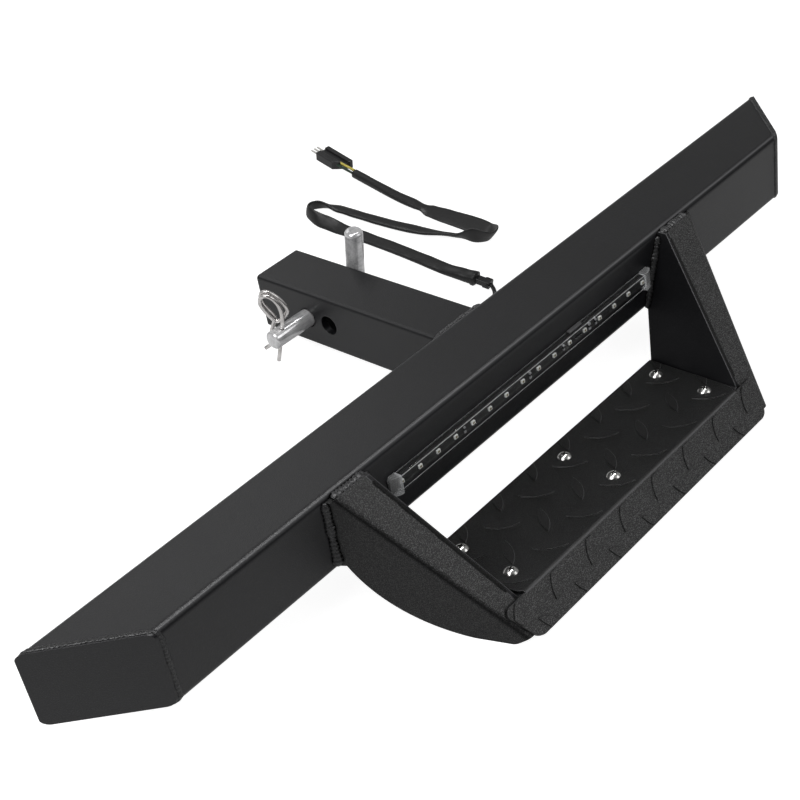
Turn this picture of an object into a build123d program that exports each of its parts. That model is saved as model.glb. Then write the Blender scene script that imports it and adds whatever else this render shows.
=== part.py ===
from build123d import *
import math
import os

os.makedirs("parts", exist_ok=True)

# Hitch receiver step, in millimetres.
# The origin is where the hitch pin's cross hole meets the axis of the shank.
# +X runs along the cross tube, +Y points into the vehicle's receiver and +Z is up.

# Cross tube
tube_size = 63.5
tube_wall = 4.76
tube_corner = 5.5
tube_back_length = 870.0
cap_plate = 3.0
mitre_deg = 45.0
bead_rise = 0.9
bead_width = 3.4

# Shank
shank_size = 50.8
shank_wall = 6.35
shank_corner = 3.0
shank_length = 206.0
shank_bead = 5.5
pin_to_tube = 150.1
hole_spacing = 25.0
pin_hole_r = 8.73

# Hitch pin and its clip
pin_r = 7.94
pin_drop = 0.22
pin_tilt_deg = 1.2
pin_near_reach = 67.5
pin_arm_x = 34.9
pin_bend_r = 10.0
pin_arm_height = 58.0
pin_arm_turn_deg = 10.0
pin_arm_lean_deg = 1.0
pin_end_chamfer = 1.2
pin_arm_round = 4.0
clip_wire_r = 1.7
clip_hole_r = 2.0
clip_x = 57.0
clip_lean_deg = 20.0
clip_yaw_deg = 36.0

# Step tread, bent from patterned plate
tread_drop = 69.5
tread_gap = 11.8
tread_depth = 84.4
tread_half = 142.0
fold_half = 138.3
plate = 2.5
fold_r = 5.0
slope_deg = 49.5
lip_length = 31.8
lip_top_half = 164.8
lip_low_half = 150.5
lip_top_corner = 5.0
lip_low_corner = 10.0
lip_start = 0.5

# Raised leaves of the tread pattern
leaf_length = 27.4
leaf_width = 7.6
leaf_rise = 0.8
leaf_pitch_x = 42.5
leaf_pitch_y = 44.4
leaf_a_x = -5.8
leaf_a_y = 14.1
leaf_b_x = 15.4
leaf_b_y = -9.1
leaf_a_deg = -47.0
leaf_b_deg = 51.0
leaf_edge = 1.2

# Tray under the tread, bent up at both sides
sheet = 3.2
wall_half = 144.6
wall_lean = 0.374
wall_bend_r = 2.5
wall_top_z = 30.0
tray_rear = 11.5
tray_front = 93.7

# Side brackets
bracket_sheet = 4.8
bracket_bend_r = 6.0
cheek_half_left = 219.5
cheek_half_right = 223.3
cheek_taper = 0.56
cheek_arc_r = 116.4
cheek_arc_y = 112.1
cheek_low_z = 98.6
cheek_nose_y = 102.7
cheek_nose_deg = 33.0
cheek_nose_r = 8.0
flange_top_z = 31.0
bracket_bead = 5.0

# Tread screws and nuts
screw_r = 3.0
screw_head_r = 5.75
screw_head_h = 3.0
screw_hole_r = 3.2
screw_x = 127.0
screw_rear = 28.1
screw_row = 46.4
recess_width = 1.3
recess_length = 5.4
recess_depth = 1.6
nut_across = 10.0
nut_height = 5.0
screw_tail = 2.5

# Light strip on the front of the tube
lens_half = 152.0
lens_height = 14.0
lens_depth = 6.5
lens_wall = 1.4
base_depth = 1.5
board_height = 10.0
board_depth = 1.5
board_half = 151.8
chip_count = 16
chip_pitch = 20.0
chip_wide = 3.5
chip_high = 2.8
chip_depth = 1.4
end_length_left = 8.5
end_length_right = 11.5
end_height = 16.0
clip_half = 8.0
clip_at = 60.0
clip_plate = 1.2

# Wiring
lead_r = 0.95
lead_gap = 2.3
lead_front_x = 146.0
lead_back_x = 96.0
lead_back_z = -12.0
lead_hole_r = 4.0
grommet_hole_r = 6.0
grommet_flange_r = 8.5
grommet_flange = 2.0
grommet_bore_r = 2.7
sleeve_r = 5.0
ground_tilt_deg = 11.04
plug_x = 189.1
plug_back = 326.8
plug_wide = 17.4
plug_front = 24.5
plug_tail = 12.0
plug_thick = 8.4
plug_deck = 6.4
plug_rail = 6.2
plug_guard = 5.0
prong_r = 1.0
prong_fit = 0.02
prong_out = 10.7
prong_pitch = 3.9
prong_first = 3.6
prong_height = 4.2
plug_wire_r = 1.2

# Derived places
tube_back_y = -pin_to_tube
tube_front_y = tube_back_y - tube_size
tube_half = tube_size / 2
mitre_tan = math.tan(math.radians(mitre_deg))
back_half = tube_back_length / 2
front_half = back_half - tube_size * mitre_tan
slope = math.radians(slope_deg)
slope_sin = math.sin(slope)
slope_cos = math.cos(slope)
tread_top_z = -tread_drop
tray_top_z = tread_top_z - plate
tread_rear_y = tube_front_y - tread_gap
fold_y = tread_rear_y - tread_depth
flange_y = fold_y + plate * slope_sin
flange_z = tread_top_z - plate * slope_cos


def side_prism(points, reach):
    # A prism along X from an outline given as (y, z)
    outline = make_face(Polyline(*points, close=True))
    return extrude(Plane.YZ * outline, reach, both=True)


def plan_prism(points, reach):
    # A prism along Z from an outline given as (x, y)
    return extrude(make_face(Polyline(*points, close=True)), reach, both=True)


def end_prism(points, low_y, high_y):
    # A prism along Y from an outline given as (x, z)
    outline = make_face(Polyline(*points, close=True))
    return extrude(Plane.XZ.offset(-high_y) * outline, high_y - low_y)


def flange_line_y(z):
    # Where the face of the sloping flange crosses height z
    return flange_y + (z - flange_z) * slope_cos / slope_sin


def arc_radii(points):
    # The largest radius that the two runs at each inner point leave room for
    radii = []
    for before, here, after in zip(points, points[1:], points[2:]):
        first = Vector(*here) - Vector(*before)
        second = Vector(*after) - Vector(*here)
        turn = math.radians(first.get_angle(second))
        radii.append(0.45 * min(first.length, second.length) / math.tan(turn / 2))
    return radii


def round_tube(points, radius, label):
    # A tube of straight runs joined by tangent arcs
    radii = arc_radii(points)
    path = FilletPolyline(*points, radius=radii)
    start = Plane(origin=path @ 0, z_dir=path % 0)
    solid = sweep(start * Circle(radius), path=path)
    wanted = math.pi * radius ** 2 * path.length
    print(label, "length", round(path.length, 1), "volume ratio", round(solid.volume / wanted, 4))
    print(label, "radii", [round(r, 1) for r in radii])
    return solid


def mirrored(solid):
    return mirror(solid, about=Plane.YZ)


# Cross tube: a square tube cut at the mitre, with a plate over each end
bar_centre = Location((0, tube_back_y - tube_half, 0))
bar_outline = Plane.YZ * RectangleRounded(tube_size, tube_size, tube_corner)
bore_size = tube_size - 2 * tube_wall
bore_outline = Plane.YZ * RectangleRounded(bore_size, bore_size, 1.5)
full_bar = bar_centre * extrude(bar_outline, tube_back_length, both=True)
full_bore = bar_centre * extrude(bore_outline, tube_back_length, both=True)
cap_run = cap_plate / math.cos(math.radians(mitre_deg))


def mitre_plan(inset, outset_back, outset_front):
    # The tube's plan, each mitred end drawn in by inset along X
    back = back_half - inset
    front = front_half - inset
    slant = (back - front) / tube_size
    far_back = back + outset_back * slant
    far_front = front - outset_front * slant
    top = tube_back_y + outset_back
    low = tube_front_y - outset_front
    return [(-far_back, top), (far_back, top), (far_front, low), (-far_front, low)]


cross_tube = (full_bar - full_bore) & plan_prism(mitre_plan(cap_run, 0, 0), tube_size)
lead_hole_at = Location((lead_front_x, tube_front_y, 0), (90, 0, 0))
grommet_at = Location((lead_back_x, tube_back_y, lead_back_z), (90, 0, 0))
cross_tube -= lead_hole_at * Cylinder(lead_hole_r, 3 * tube_wall)
cross_tube -= grommet_at * Cylinder(grommet_hole_r, 3 * tube_wall)

cap_zone = plan_prism(mitre_plan(0, 0, 0), tube_size) - plan_prism(mitre_plan(cap_run, 4, 4), tube_size)
cap_pair = (full_bar & cap_zone).solids()
end_cap_left = [s for s in cap_pair if s.center().X < 0][0]
end_cap_right = [s for s in cap_pair if s.center().X > 0][0]

# Weld round each cap plate, a low bead over the seam
bead_outline = Plane.YZ * RectangleRounded(tube_size + 2 * bead_rise, tube_size + 2 * bead_rise, tube_corner + bead_rise)
bead_bar = bar_centre * extrude(bead_outline, tube_back_length, both=True)
bead_out = plan_prism(mitre_plan(cap_run - bead_width / 2, 4, 4), tube_size)
bead_in = plan_prism(mitre_plan(cap_run + bead_width / 2, 6, 6), tube_size)
cap_welds = (bead_bar - full_bar) & (bead_out - bead_in)

# Shank: square tube with two cross holes
shank_outline = Plane.XZ * RectangleRounded(shank_size, shank_size, shank_corner)
shank_bore = shank_size - 2 * shank_wall
shank_inner = Plane.XZ * RectangleRounded(shank_bore, shank_bore, 1.0)
shank = extrude(shank_outline, -shank_length) - extrude(shank_inner, -shank_length)
shank = Location((0, tube_back_y, 0)) * shank
cross_hole = Location((0, 0, 0), (0, 90, 0)) * Cylinder(pin_hole_r, 2 * shank_size)
shank -= cross_hole
shank -= Location((0, -hole_spacing, 0)) * cross_hole

# Weld between shank and tube, a sloping bead all round
bead_base = RectangleRounded(shank_size + 2 * shank_bead, shank_size + 2 * shank_bead, shank_corner + shank_bead)
bead_block = extrude(Plane.XZ * bead_base, -shank_bead, taper=44)
shank_weld = Location((0, tube_back_y, 0)) * (bead_block - extrude(shank_outline, -2 * shank_bead))

# Tray: one sheet, its two sides bent up to the tube
wall_reach = sheet * math.sqrt(1 + wall_lean ** 2)


def wall_x(z, outset):
    return wall_half + outset + wall_lean * (z - tread_top_z)


def tray_section(outset, floor_z, high_z, corner):
    points = [
        (-wall_x(floor_z, outset), floor_z),
        (wall_x(floor_z, outset), floor_z),
        (wall_x(high_z, outset), high_z),
        (-wall_x(high_z, outset), high_z),
    ]
    block = end_prism(points, fold_y - 20, tube_front_y)
    low_edges = block.edges().filter_by(Axis.Y).sort_by(Axis.Z)[:2]
    return fillet(low_edges, corner)


tray_out = tray_section(wall_reach, tray_top_z - sheet, 60, wall_bend_r + sheet)
tray_in = tray_section(0, tray_top_z, 80, wall_bend_r)
tray_side = [
    (tube_front_y, wall_top_z),
    (flange_line_y(wall_top_z), wall_top_z),
    (flange_line_y(tray_top_z + 4), tray_top_z + 4),
    (tube_front_y - tray_front, tray_top_z + 0.8),
    (tube_front_y - tray_front, tray_top_z - sheet),
    (tube_front_y - tray_rear, tray_top_z - sheet),
    (tube_front_y - tray_rear, tread_top_z - 0.5),
    (tube_front_y - 1.5, -tube_half),
    (tube_front_y, -tube_half + 0.8),
]
step_tray = (tray_out - tray_in) & side_prism(tray_side, 250)

# Bracket: one sheet folded along the outer edge, sloping flange above and cheek below
flange_normal = Vector(0, -slope_sin, slope_cos)
cheek_normal = Vector(1, -cheek_taper, 0).normalized()
bend_dir = flange_normal.cross(cheek_normal).normalized()
flange_dir = flange_normal.cross(bend_dir).normalized()
if flange_dir.X > 0:
    flange_dir = flange_dir * -1
cheek_dir = cheek_normal.cross(bend_dir).normalized()
if cheek_dir.Z > 0:
    cheek_dir = cheek_dir * -1
corner_z = -20.0
corner_y = flange_line_y(corner_z)
bend_across = bend_dir.cross(flange_dir)
cheek_flat = Vector(1, 0) * cheek_dir.dot(flange_dir) + Vector(0, 1) * cheek_dir.dot(bend_across)
side_sign = 1 if cheek_flat.Y > 0 else -1
fold_angle = math.atan2(abs(cheek_flat.Y), cheek_flat.X)


def wedge(inset, reach, radius):
    # The wedge between flange and cheek, both faces drawn in by inset
    shift = inset / math.tan(fold_angle / 2)
    tip = Vector(shift, inset * side_sign)
    far_flange = tip + Vector(reach, 0)
    far_cheek = tip + cheek_flat * reach * 1.8
    corners = [(point.X, point.Y) for point in (far_flange, tip, far_cheek)]
    face = make_face(Polyline(*corners, close=True))
    return fillet(face.vertices().sort_by_distance((tip.X, tip.Y, 0))[0], radius)


bracket_face = wedge(0, 170, bracket_bend_r) - wedge(bracket_sheet, 400, bracket_bend_r - bracket_sheet)
arc_centre_y = tube_front_y - cheek_arc_y
arc_centre_z = cheek_arc_r - cheek_low_z


def arc_point(y):
    # Place on the cheek's curved lower edge
    return (y, arc_centre_z - math.sqrt(cheek_arc_r ** 2 - (y - arc_centre_y) ** 2))


arc_start_z = -tube_half + 3.0
arc_start_y = arc_centre_y + math.sqrt(cheek_arc_r ** 2 - (arc_centre_z - arc_start_z) ** 2)
nose_low = arc_point(tube_front_y - cheek_nose_y)
nose_rise = math.tan(math.radians(cheek_nose_deg))
nose_high = (nose_low[0] - 24, nose_low[1] + 24 * nose_rise)
end_top_y = flange_line_y(flange_top_z)
cut_low = (end_top_y + bracket_sheet * slope_sin, flange_top_z - bracket_sheet * slope_cos)
cut_high = (end_top_y - 12 * slope_sin, flange_top_z + 12 * slope_cos)
bracket_side = (
    ThreePointArc((arc_start_y, arc_start_z), arc_point((arc_start_y + nose_low[0]) / 2), nose_low)
    + Polyline(
        nose_low,
        nose_high,
        (nose_high[0] - 20, nose_high[1] + 20),
        (cut_high[0] - 60, cut_high[1] - 20),
        cut_high,
        cut_low,
        (tube_front_y, cut_low[1]),
        (tube_front_y, arc_start_z),
        (arc_start_y, arc_start_z),
    )
)
bracket_outline = make_face(bracket_side)
nose_point = bracket_outline.vertices().sort_by_distance((nose_low[0], nose_low[1], 0))[0]
bracket_outline = fillet(nose_point, cheek_nose_r)
bracket_zone = extrude(Plane.YZ * bracket_outline, 300)
inner_limit = [
    (wall_x(-140, wall_reach), -140),
    (400, -140),
    (400, 80),
    (wall_x(80, wall_reach), 80),
]
inner_zone = end_prism(inner_limit, fold_y - 80, tube_front_y)


def bracket(half):
    # The bracket on the right side, its cheek at half from the middle where it meets the tube
    corner_x = half + cheek_taper * (corner_y - tube_front_y)
    plane = Plane(origin=(corner_x, corner_y, corner_z), x_dir=flange_dir, z_dir=bend_dir)
    bar = extrude(plane * bracket_face, 150, both=True)
    return (bar & bracket_zone) & inner_zone


bracket_right = bracket(cheek_half_right)
bracket_left = mirrored(bracket(cheek_half_left))

# Bracket welds: outer seam, top seam and inner seam on each side
top_seam_face = make_face(
    Polyline(
        (end_top_y + 0.2, flange_top_z + 0.2),
        (tube_front_y + tube_corner * 0.6, tube_half - 0.2),
        (tube_front_y + tube_corner, tube_half - tube_corner),
        (tube_front_y, cut_low[1]),
        cut_low,
        close=True,
    )
)
inner_low_z = -tube_half + 1.0
inner_run = wall_top_z - 2.0 - inner_low_z
inner_seam_face = Plane.XY.offset(inner_low_z) * make_face(
    Polyline(
        (wall_x(inner_low_z, 0), tube_front_y),
        (wall_x(inner_low_z, 0) - bracket_bead, tube_front_y),
        (wall_x(inner_low_z, 0), tube_front_y - bracket_bead),
        close=True,
    )
)
lean_length = math.sqrt(1 + wall_lean ** 2)
inner_seam = extrude(inner_seam_face, inner_run * lean_length, dir=(wall_lean / lean_length, 0, 1 / lean_length))


def seams(half):
    # The three seams of the right side
    outer_points = [
        (half, tube_front_y),
        (half + bracket_bead, tube_front_y),
        (half - cheek_taper * bracket_bead, tube_front_y - bracket_bead),
    ]
    outer_seam = plan_prism(outer_points, tube_half - tube_corner)
    top_start = wall_x(wall_top_z, 0)
    top_end = half + cheek_taper * (end_top_y - tube_front_y) - 3.0
    top_seam = extrude(Plane.YZ.offset(top_start) * top_seam_face, top_end - top_start)
    top_seam = top_seam - full_bar - bracket(half) - step_tray
    return [s for part in (outer_seam, top_seam, inner_seam) for s in part.solids()]


bracket_welds = Compound(children=seams(cheek_half_right) + [mirrored(s) for s in seams(cheek_half_left)])

# Tread plate: flat top, fold, and a lip that covers the foot of both brackets
down = Vector(0, -slope_cos, -slope_sin)
out = Vector(0, -slope_sin, slope_cos)
fold_point = Vector(0, fold_y, tread_top_z)
lip_plane = Plane(origin=fold_point, x_dir=(1, 0, 0), z_dir=out)
inner_fold_y = fold_y + plate * math.tan(slope / 2)
bend_low = fold_point + down * 12
bend_low_in = bend_low - out * plate
sheet_profile = make_face(
    Polyline(
        (tread_rear_y, tread_top_z),
        (fold_y, tread_top_z),
        (bend_low.Y, bend_low.Z),
        (bend_low_in.Y, bend_low_in.Z),
        (inner_fold_y, tray_top_z),
        (tread_rear_y, tray_top_z),
        close=True,
    )
)
fold_out = sheet_profile.vertices().sort_by_distance((fold_y, tread_top_z, 0))[0]
sheet_profile = fillet(fold_out, fold_r)
fold_in = sheet_profile.vertices().sort_by_distance((inner_fold_y, tray_top_z, 0))[0]
sheet_profile = fillet(fold_in, fold_r - plate)
bent_sheet = extrude(Plane.YZ * sheet_profile, tread_half, both=True)
relief = plan_prism(
    [
        (tread_half + 1, fold_y + 12.0),
        (tread_half, fold_y + 12.0),
        (tread_half - 0.7, fold_y + 7.6),
        (tread_half - 1.9, fold_y + 4.2),
        (fold_half, fold_y + 1.6),
        (fold_half, fold_y - 40),
        (tread_half + 1, fold_y - 40),
    ],
    300,
)
bent_sheet = bent_sheet - relief - mirrored(relief)
fold_run = fold_r * math.tan(slope / 2) + 0.3
lip_outline = make_face(
    Polyline(
        (-lip_top_half, -lip_start),
        (-fold_half, -lip_start),
        (-fold_half, -fold_run),
        (fold_half, -fold_run),
        (fold_half, -lip_start),
        (lip_top_half, -lip_start),
        (lip_low_half, -lip_length),
        (-lip_low_half, -lip_length),
        close=True,
    )
)
for corner_x_at, corner_s, corner_r in (
    (-lip_top_half, -lip_start, lip_top_corner),
    (lip_top_half, -lip_start, lip_top_corner),
    (lip_low_half, -lip_length, lip_low_corner),
    (-lip_low_half, -lip_length, lip_low_corner),
):
    point = lip_outline.vertices().sort_by_distance((corner_x_at, corner_s, 0))[0]
    lip_outline = fillet(point, corner_r)
lip_sheet = extrude(lip_plane * lip_outline, -plate)
tread_plate = bent_sheet + lip_sheet

# Leaves: pointed bars in two directions, cut off where the plate ends
half_leaf = leaf_length / 2
leaf_face = make_face(
    ThreePointArc((-half_leaf, 0), (0, leaf_width / 2), (half_leaf, 0))
    + ThreePointArc((half_leaf, 0), (0, -leaf_width / 2), (-half_leaf, 0))
)
leaf = extrude(leaf_face, leaf_rise) + extrude(leaf_face, -plate / 2)
top_plane = Plane(origin=fold_point, x_dir=(1, 0, 0), z_dir=(0, 0, 1))
top_limit = top_plane * Box(2 * tread_half - leaf_edge, 2 * (tread_depth - leaf_edge), 3 * plate)
lip_limit = extrude(lip_plane * offset(lip_outline, -0.6), plate, both=True)
top_low = fold_run + 0.5
top_leaves = []
lip_leaves = []
for family_x, family_y, family_deg in (
    (leaf_a_x, leaf_a_y, leaf_a_deg),
    (leaf_b_x, leaf_b_y, leaf_b_deg),
):
    for row in range(-1, 3):
        for column in range(-4, 5):
            x = family_x + column * leaf_pitch_x
            y = family_y + row * leaf_pitch_y
            turned = Location((x, y, 0), (0, 0, family_deg)) * leaf
            if y > 0 and abs(x) < tread_half + 4 and y < tread_depth + 4:
                top_leaves += ((top_plane * turned) & top_limit).solids()
            if y < 0 and abs(x) < lip_top_half + 4:
                lip_leaves += ((lip_plane * turned) & lip_limit).solids()
tread_plate = tread_plate.fuse(*[s for s in top_leaves + lip_leaves if s.volume > 8])

# Screws through tread and tray, each with a nut below
screw_places = [
    (x, tread_rear_y - y) for x in (-screw_x, 0.0, screw_x) for y in (screw_rear - tread_gap, screw_rear + screw_row - tread_gap)
]
stack = plate + sheet
dome_r = (screw_head_r ** 2 + screw_head_h ** 2) / (2 * screw_head_h)
dome = Location((0, 0, screw_head_h - dome_r)) * Sphere(dome_r)
head = dome & (Location((0, 0, screw_head_h)) * Cylinder(screw_head_r + 1, 2 * screw_head_h))
tail_length = stack + nut_height + screw_tail
stem = Location((0, 0, -tail_length / 2)) * Cylinder(screw_r, tail_length)
recess_box = Location((0, 0, screw_head_h)) * Box(recess_length, recess_width, 2 * recess_depth)
recess = recess_box + Location((0, 0, 0), (0, 0, 90)) * recess_box
screw = (head + stem) - recess
nut_face = RegularPolygon(nut_across / 2, 6, major_radius=False) - Circle(screw_r)
nut = extrude(nut_face, -nut_height)
screw_list = []
nut_list = []
for x, y in screw_places:
    hole = Location((x, y, tread_top_z)) * Cylinder(screw_hole_r, 30)
    tread_plate -= hole
    step_tray -= hole
    screw_list += (Location((x, y, tread_top_z), (0, 0, 20)) * screw).solids()
    nut_list += (Location((x, y, tray_top_z - sheet)) * nut).solids()
tread_screws = Compound(children=screw_list)
tread_nuts = Compound(children=nut_list)

# Light strip: backing, board, chips and a clear cover with moulded ends
strip_back_y = tube_front_y
board_y = strip_back_y - base_depth
chip_y = board_y - board_depth
cover_y = strip_back_y - lens_depth


def strip_box(half_x, high, near_y, far_y):
    return Location((0, (near_y + far_y) / 2, 0)) * Box(2 * half_x, abs(near_y - far_y), high)


led_base = strip_box(lens_half, lens_height - 2 * lens_wall, strip_back_y, board_y)
led_base -= lead_hole_at * Cylinder(lead_hole_r - 1, 20)
led_board = strip_box(board_half, board_height, board_y, chip_y)
cover_section = Plane.YZ * RectangleRounded(2 * lens_depth, lens_height, 2.2)
cover = Location((0, strip_back_y, 0)) * extrude(cover_section, lens_half, both=True)
cover = cover & strip_box(lens_half + 5, lens_height + 5, strip_back_y, strip_back_y - 20)
led_lens = cover - strip_box(lens_half + 5, lens_height - 2 * lens_wall, strip_back_y + 1, cover_y + lens_wall)
chip = Box(chip_wide, chip_depth, chip_high)
chip_places = [(i - (chip_count - 1) / 2) * chip_pitch for i in range(chip_count)]
led_chips = Compound(children=[Location((x, chip_y - chip_depth / 2, 0)) * chip for x in chip_places])
small_parts = []
for x, z, wide, high in (
    (-79.5, -0.8, 1.8, 5.0),
    (-0.5, -0.5, 2.2, 5.4),
    (42.3, -0.4, 1.8, 4.6),
    (59.0, -0.5, 1.6, 1.6),
    (62.2, -0.5, 1.6, 1.6),
    (65.4, -0.5, 1.6, 1.6),
    (76.8, -0.4, 2.6, 5.4),
    (85.0, -0.4, 1.8, 5.0),
):
    small_parts.append(Location((x, chip_y - 0.5, z)) * Box(wide, 1.0, high))
led_resistors = Compound(children=small_parts)


def end_block(length):
    # A moulded end of the strip, on the right side
    points = [
        (lens_half, strip_back_y),
        (lens_half + length, strip_back_y),
        (lens_half + length, strip_back_y - 2.6),
        (lens_half + 0.55 * length, cover_y + 0.8),
        (lens_half + 0.25 * length, cover_y - 0.3),
        (lens_half, cover_y - 0.3),
    ]
    block = plan_prism(points, end_height / 2)
    return fillet(block.edges().filter_by(Axis.Y).sort_by(Axis.X)[-2:], 3.0)


led_end_right = end_block(end_length_right)
led_end_left = mirrored(end_block(end_length_left))
hook = strip_box(clip_half, lens_height + 2 * clip_plate, strip_back_y, cover_y - clip_plate)
hook -= cover
hook -= Location((0, cover_y - 3, -lens_height / 2)) * Box(4 * clip_half, 8, lens_height + 4)
hook -= Location((0, strip_back_y, -lens_height)) * Box(4 * clip_half, 40, lens_height + 8)
led_clip = Location((clip_at, 0, 0)) * max(hook.solids(), key=lambda s: s.volume)

# Grommet where the lead leaves the back of the tube
grommet_side = [
    (grommet_bore_r, -grommet_flange),
    (grommet_flange_r - 0.8, -grommet_flange),
    (grommet_flange_r, -grommet_flange + 0.8),
    (grommet_flange_r, 0),
    (grommet_hole_r - 0.05, 0),
    (grommet_hole_r - 0.05, tube_wall),
    (grommet_hole_r + 1.5, tube_wall),
    (grommet_hole_r + 0.6, tube_wall + grommet_flange),
    (grommet_bore_r, tube_wall + grommet_flange),
]
grommet_turn = revolve(Plane.XZ * make_face(Polyline(*grommet_side, close=True)), Axis.Z)
wire_grommet = grommet_at * grommet_turn

# Surface that the harness lay on, through the shank's end and the foot of the brackets
ground_tan = math.tan(math.radians(ground_tilt_deg))
shank_end_y = tube_back_y + shank_length


def ground_z(y, height):
    return -shank_size / 2 - ground_tan * (shank_end_y - y) + height / math.cos(math.radians(ground_tilt_deg))


def laid(points, height):
    return [(x, tube_back_y + y, ground_z(tube_back_y + y, height)) for x, y in points]


# Harness sleeve, route from the small connector to the trailer plug, as x and distance behind the tube
sleeve_plan = [
    (139.0, 107.0),
    (134.2, 134.2),
    (130.6, 176.7),
    (123.6, 222.7),
    (116.2, 258.7),
    (111.6, 278.7),
    (115.0, 293.1),
    (128.5, 294.3),
    (141.0, 276.2),
    (147.4, 244.7),
    (159.0, 205.7),
    (176.5, 166.7),
    (189.5, 137.7),
    (198.5, 133.2),
    (204.8, 145.7),
    (203.0, 168.7),
    (193.6, 216.7),
    (191.6, 264.7),
    (194.0, 301.2),
]
sleeve_route = laid(sleeve_plan, sleeve_r + 0.1)
harness_sleeve = round_tube(sleeve_route, sleeve_r, "harness_sleeve")

# Small two-way connector between the lead and the sleeve
sleeve_start = Vector(*sleeve_route[0])
sleeve_dir = (sleeve_start - Vector(*sleeve_route[1])).normalized()
joint_plane = Plane(origin=sleeve_start, x_dir=sleeve_dir.cross(Vector(0, 0, 1)), z_dir=sleeve_dir)
collar_ring = Circle(sleeve_r + 1.9) - Circle(sleeve_r + 0.02)
sleeve_collar = joint_plane.offset(-3.2) * fillet(extrude(collar_ring, 3.2).edges(), 0.5)
plug_shell = extrude(RectangleRounded(7.6, 5.6, 0.8), 9.0)
latch = Location((0, 3.2, 5.0)) * Box(3.0, 0.8, 5.0)
connector_plug = joint_plane * (plug_shell + latch)
socket_shell = extrude(RectangleRounded(9.0, 6.8, 0.8), 6.5)
socket_ears = Location((0, 0, 5.0)) * Box(12.0, 2.2, 2.0)
socket_step = Location((0, 4.0, 2.5)) * Box(4.2, 1.4, 5.0)
connector_socket = joint_plane.offset(9.0) * (socket_shell + socket_ears + socket_step)

# Twin lead from the light strip, through the tube and out of the grommet
lead_high = joint_plane.origin.Z
lead_route = [
    (lead_front_x, board_y, 0),
    (lead_front_x, tube_front_y + 24, 0),
    (lead_front_x - 18, tube_front_y + 37, -8.0),
    (lead_back_x, tube_back_y - 18, lead_back_z),
    (lead_back_x, tube_back_y + 12, lead_back_z),
    (lead_back_x + 5, tube_back_y + 32, lead_back_z - 10.0),
    (lead_back_x + 22, tube_back_y + 56, lead_high + 6.0),
]
lead_route += [tuple(joint_plane.origin + sleeve_dir * reach) for reach in (30.0, 15.5)]


def beside(route, shift):
    # The same route moved sideways in plan, square to its runs
    moved = []
    for i, here in enumerate(route):
        before = Vector(*route[max(i - 1, 0)])
        after = Vector(*route[min(i + 1, len(route) - 1)])
        first = Vector(*here) - before if i else after - Vector(*here)
        second = after - Vector(*here) if i < len(route) - 1 else first
        first = Vector(first.X, first.Y).normalized()
        second = Vector(second.X, second.Y).normalized()
        mean = (first + second).normalized()
        size = shift / max(mean.dot(first), 0.5)
        moved.append((here[0] + mean.Y * size, here[1] - mean.X * size, here[2]))
    return moved


lead_wire_a = round_tube(beside(lead_route, -lead_gap / 2), lead_r, "lead_wire_a")
lead_wire_b = round_tube(beside(lead_route, lead_gap / 2), lead_r, "lead_wire_b")

# Trailer plug: flat moulded body with a rail and a guard, three prongs, four wires into the sleeve
sleeve_end = Vector(*sleeve_route[-1])
plug_y = tube_back_y + plug_back
plug_forward = Vector(0.095, math.cos(math.radians(ground_tilt_deg)), math.sin(math.radians(ground_tilt_deg))).normalized()
plug_across = plug_forward.cross(Vector(0, 0, 1)).normalized()
plug_up = plug_across.cross(plug_forward)
plug_plane = Plane(origin=(plug_x, plug_y, ground_z(plug_y, 0.2)), x_dir=plug_across, z_dir=plug_up)
plug_plan = [
    (0, 0),
    (0, plug_front),
    (plug_wide, plug_front),
    (plug_wide, -plug_tail),
    (plug_wide - 4.0, -plug_tail),
]
plug_body = extrude(make_face(Polyline(*plug_plan, close=True)), plug_thick)
plug_body = fillet(plug_body.edges().filter_by(Axis.Z), 1.0)
plug_body = fillet(plug_body.faces().sort_by(Axis.Z)[-1].edges(), 0.8)
deck_wide = plug_wide - plug_rail - plug_guard
deck_cut = Location((plug_rail + deck_wide / 2, plug_front / 2, plug_thick)) * Box(deck_wide, 100, 2 * (plug_thick - plug_deck))
plug_body -= deck_cut
prong_long = prong_out + 6.5
prong_shape = Cylinder(prong_r, prong_long)
prong_shape = fillet(prong_shape.edges().sort_by(Axis.Z)[-1], 0.7 * prong_r)
prong_hole = Cylinder(prong_r + prong_fit, 13.0)
prong_list = []
for i in range(3):
    prong_at = Location((prong_first + i * prong_pitch, plug_front, prong_height), (-90, 0, 0))
    prong_list.append(plug_plane * (prong_at * Location((0, 0, prong_out - prong_long / 2)) * prong_shape))
    plug_body -= prong_at * prong_hole
trailer_plug = plug_plane * plug_body
plug_prongs = Compound(children=prong_list)
plug_mouth = plug_plane.from_local_coords(Vector(plug_wide / 2, plug_front, prong_height))
print("plug front", plug_mouth, "along", plug_forward)
plug_wires = {}
for name, across, up, plug_s, plug_h in (
    ("plug_wire_yellow", 0.2, 2.4, 7.6, 6.0),
    ("plug_wire_brown", 2.5, -0.8, 10.8, 3.4),
    ("plug_wire_green", -2.4, 0.3, 4.4, 4.6),
    ("plug_wire_white", 0.2, -2.6, 7.4, 2.4),
):
    start = sleeve_end + plug_across * across + plug_up * up
    end = plug_plane.from_local_coords(Vector(plug_s, 3.0 - plug_tail * plug_s / (plug_wide - 4.0), plug_h))
    run = end - start
    wire_plane = Plane(origin=start, z_dir=run.normalized())
    wire = extrude(wire_plane * Circle(plug_wire_r), run.length)
    plug_wires[name] = wire - trailer_plug - harness_sleeve

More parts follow.
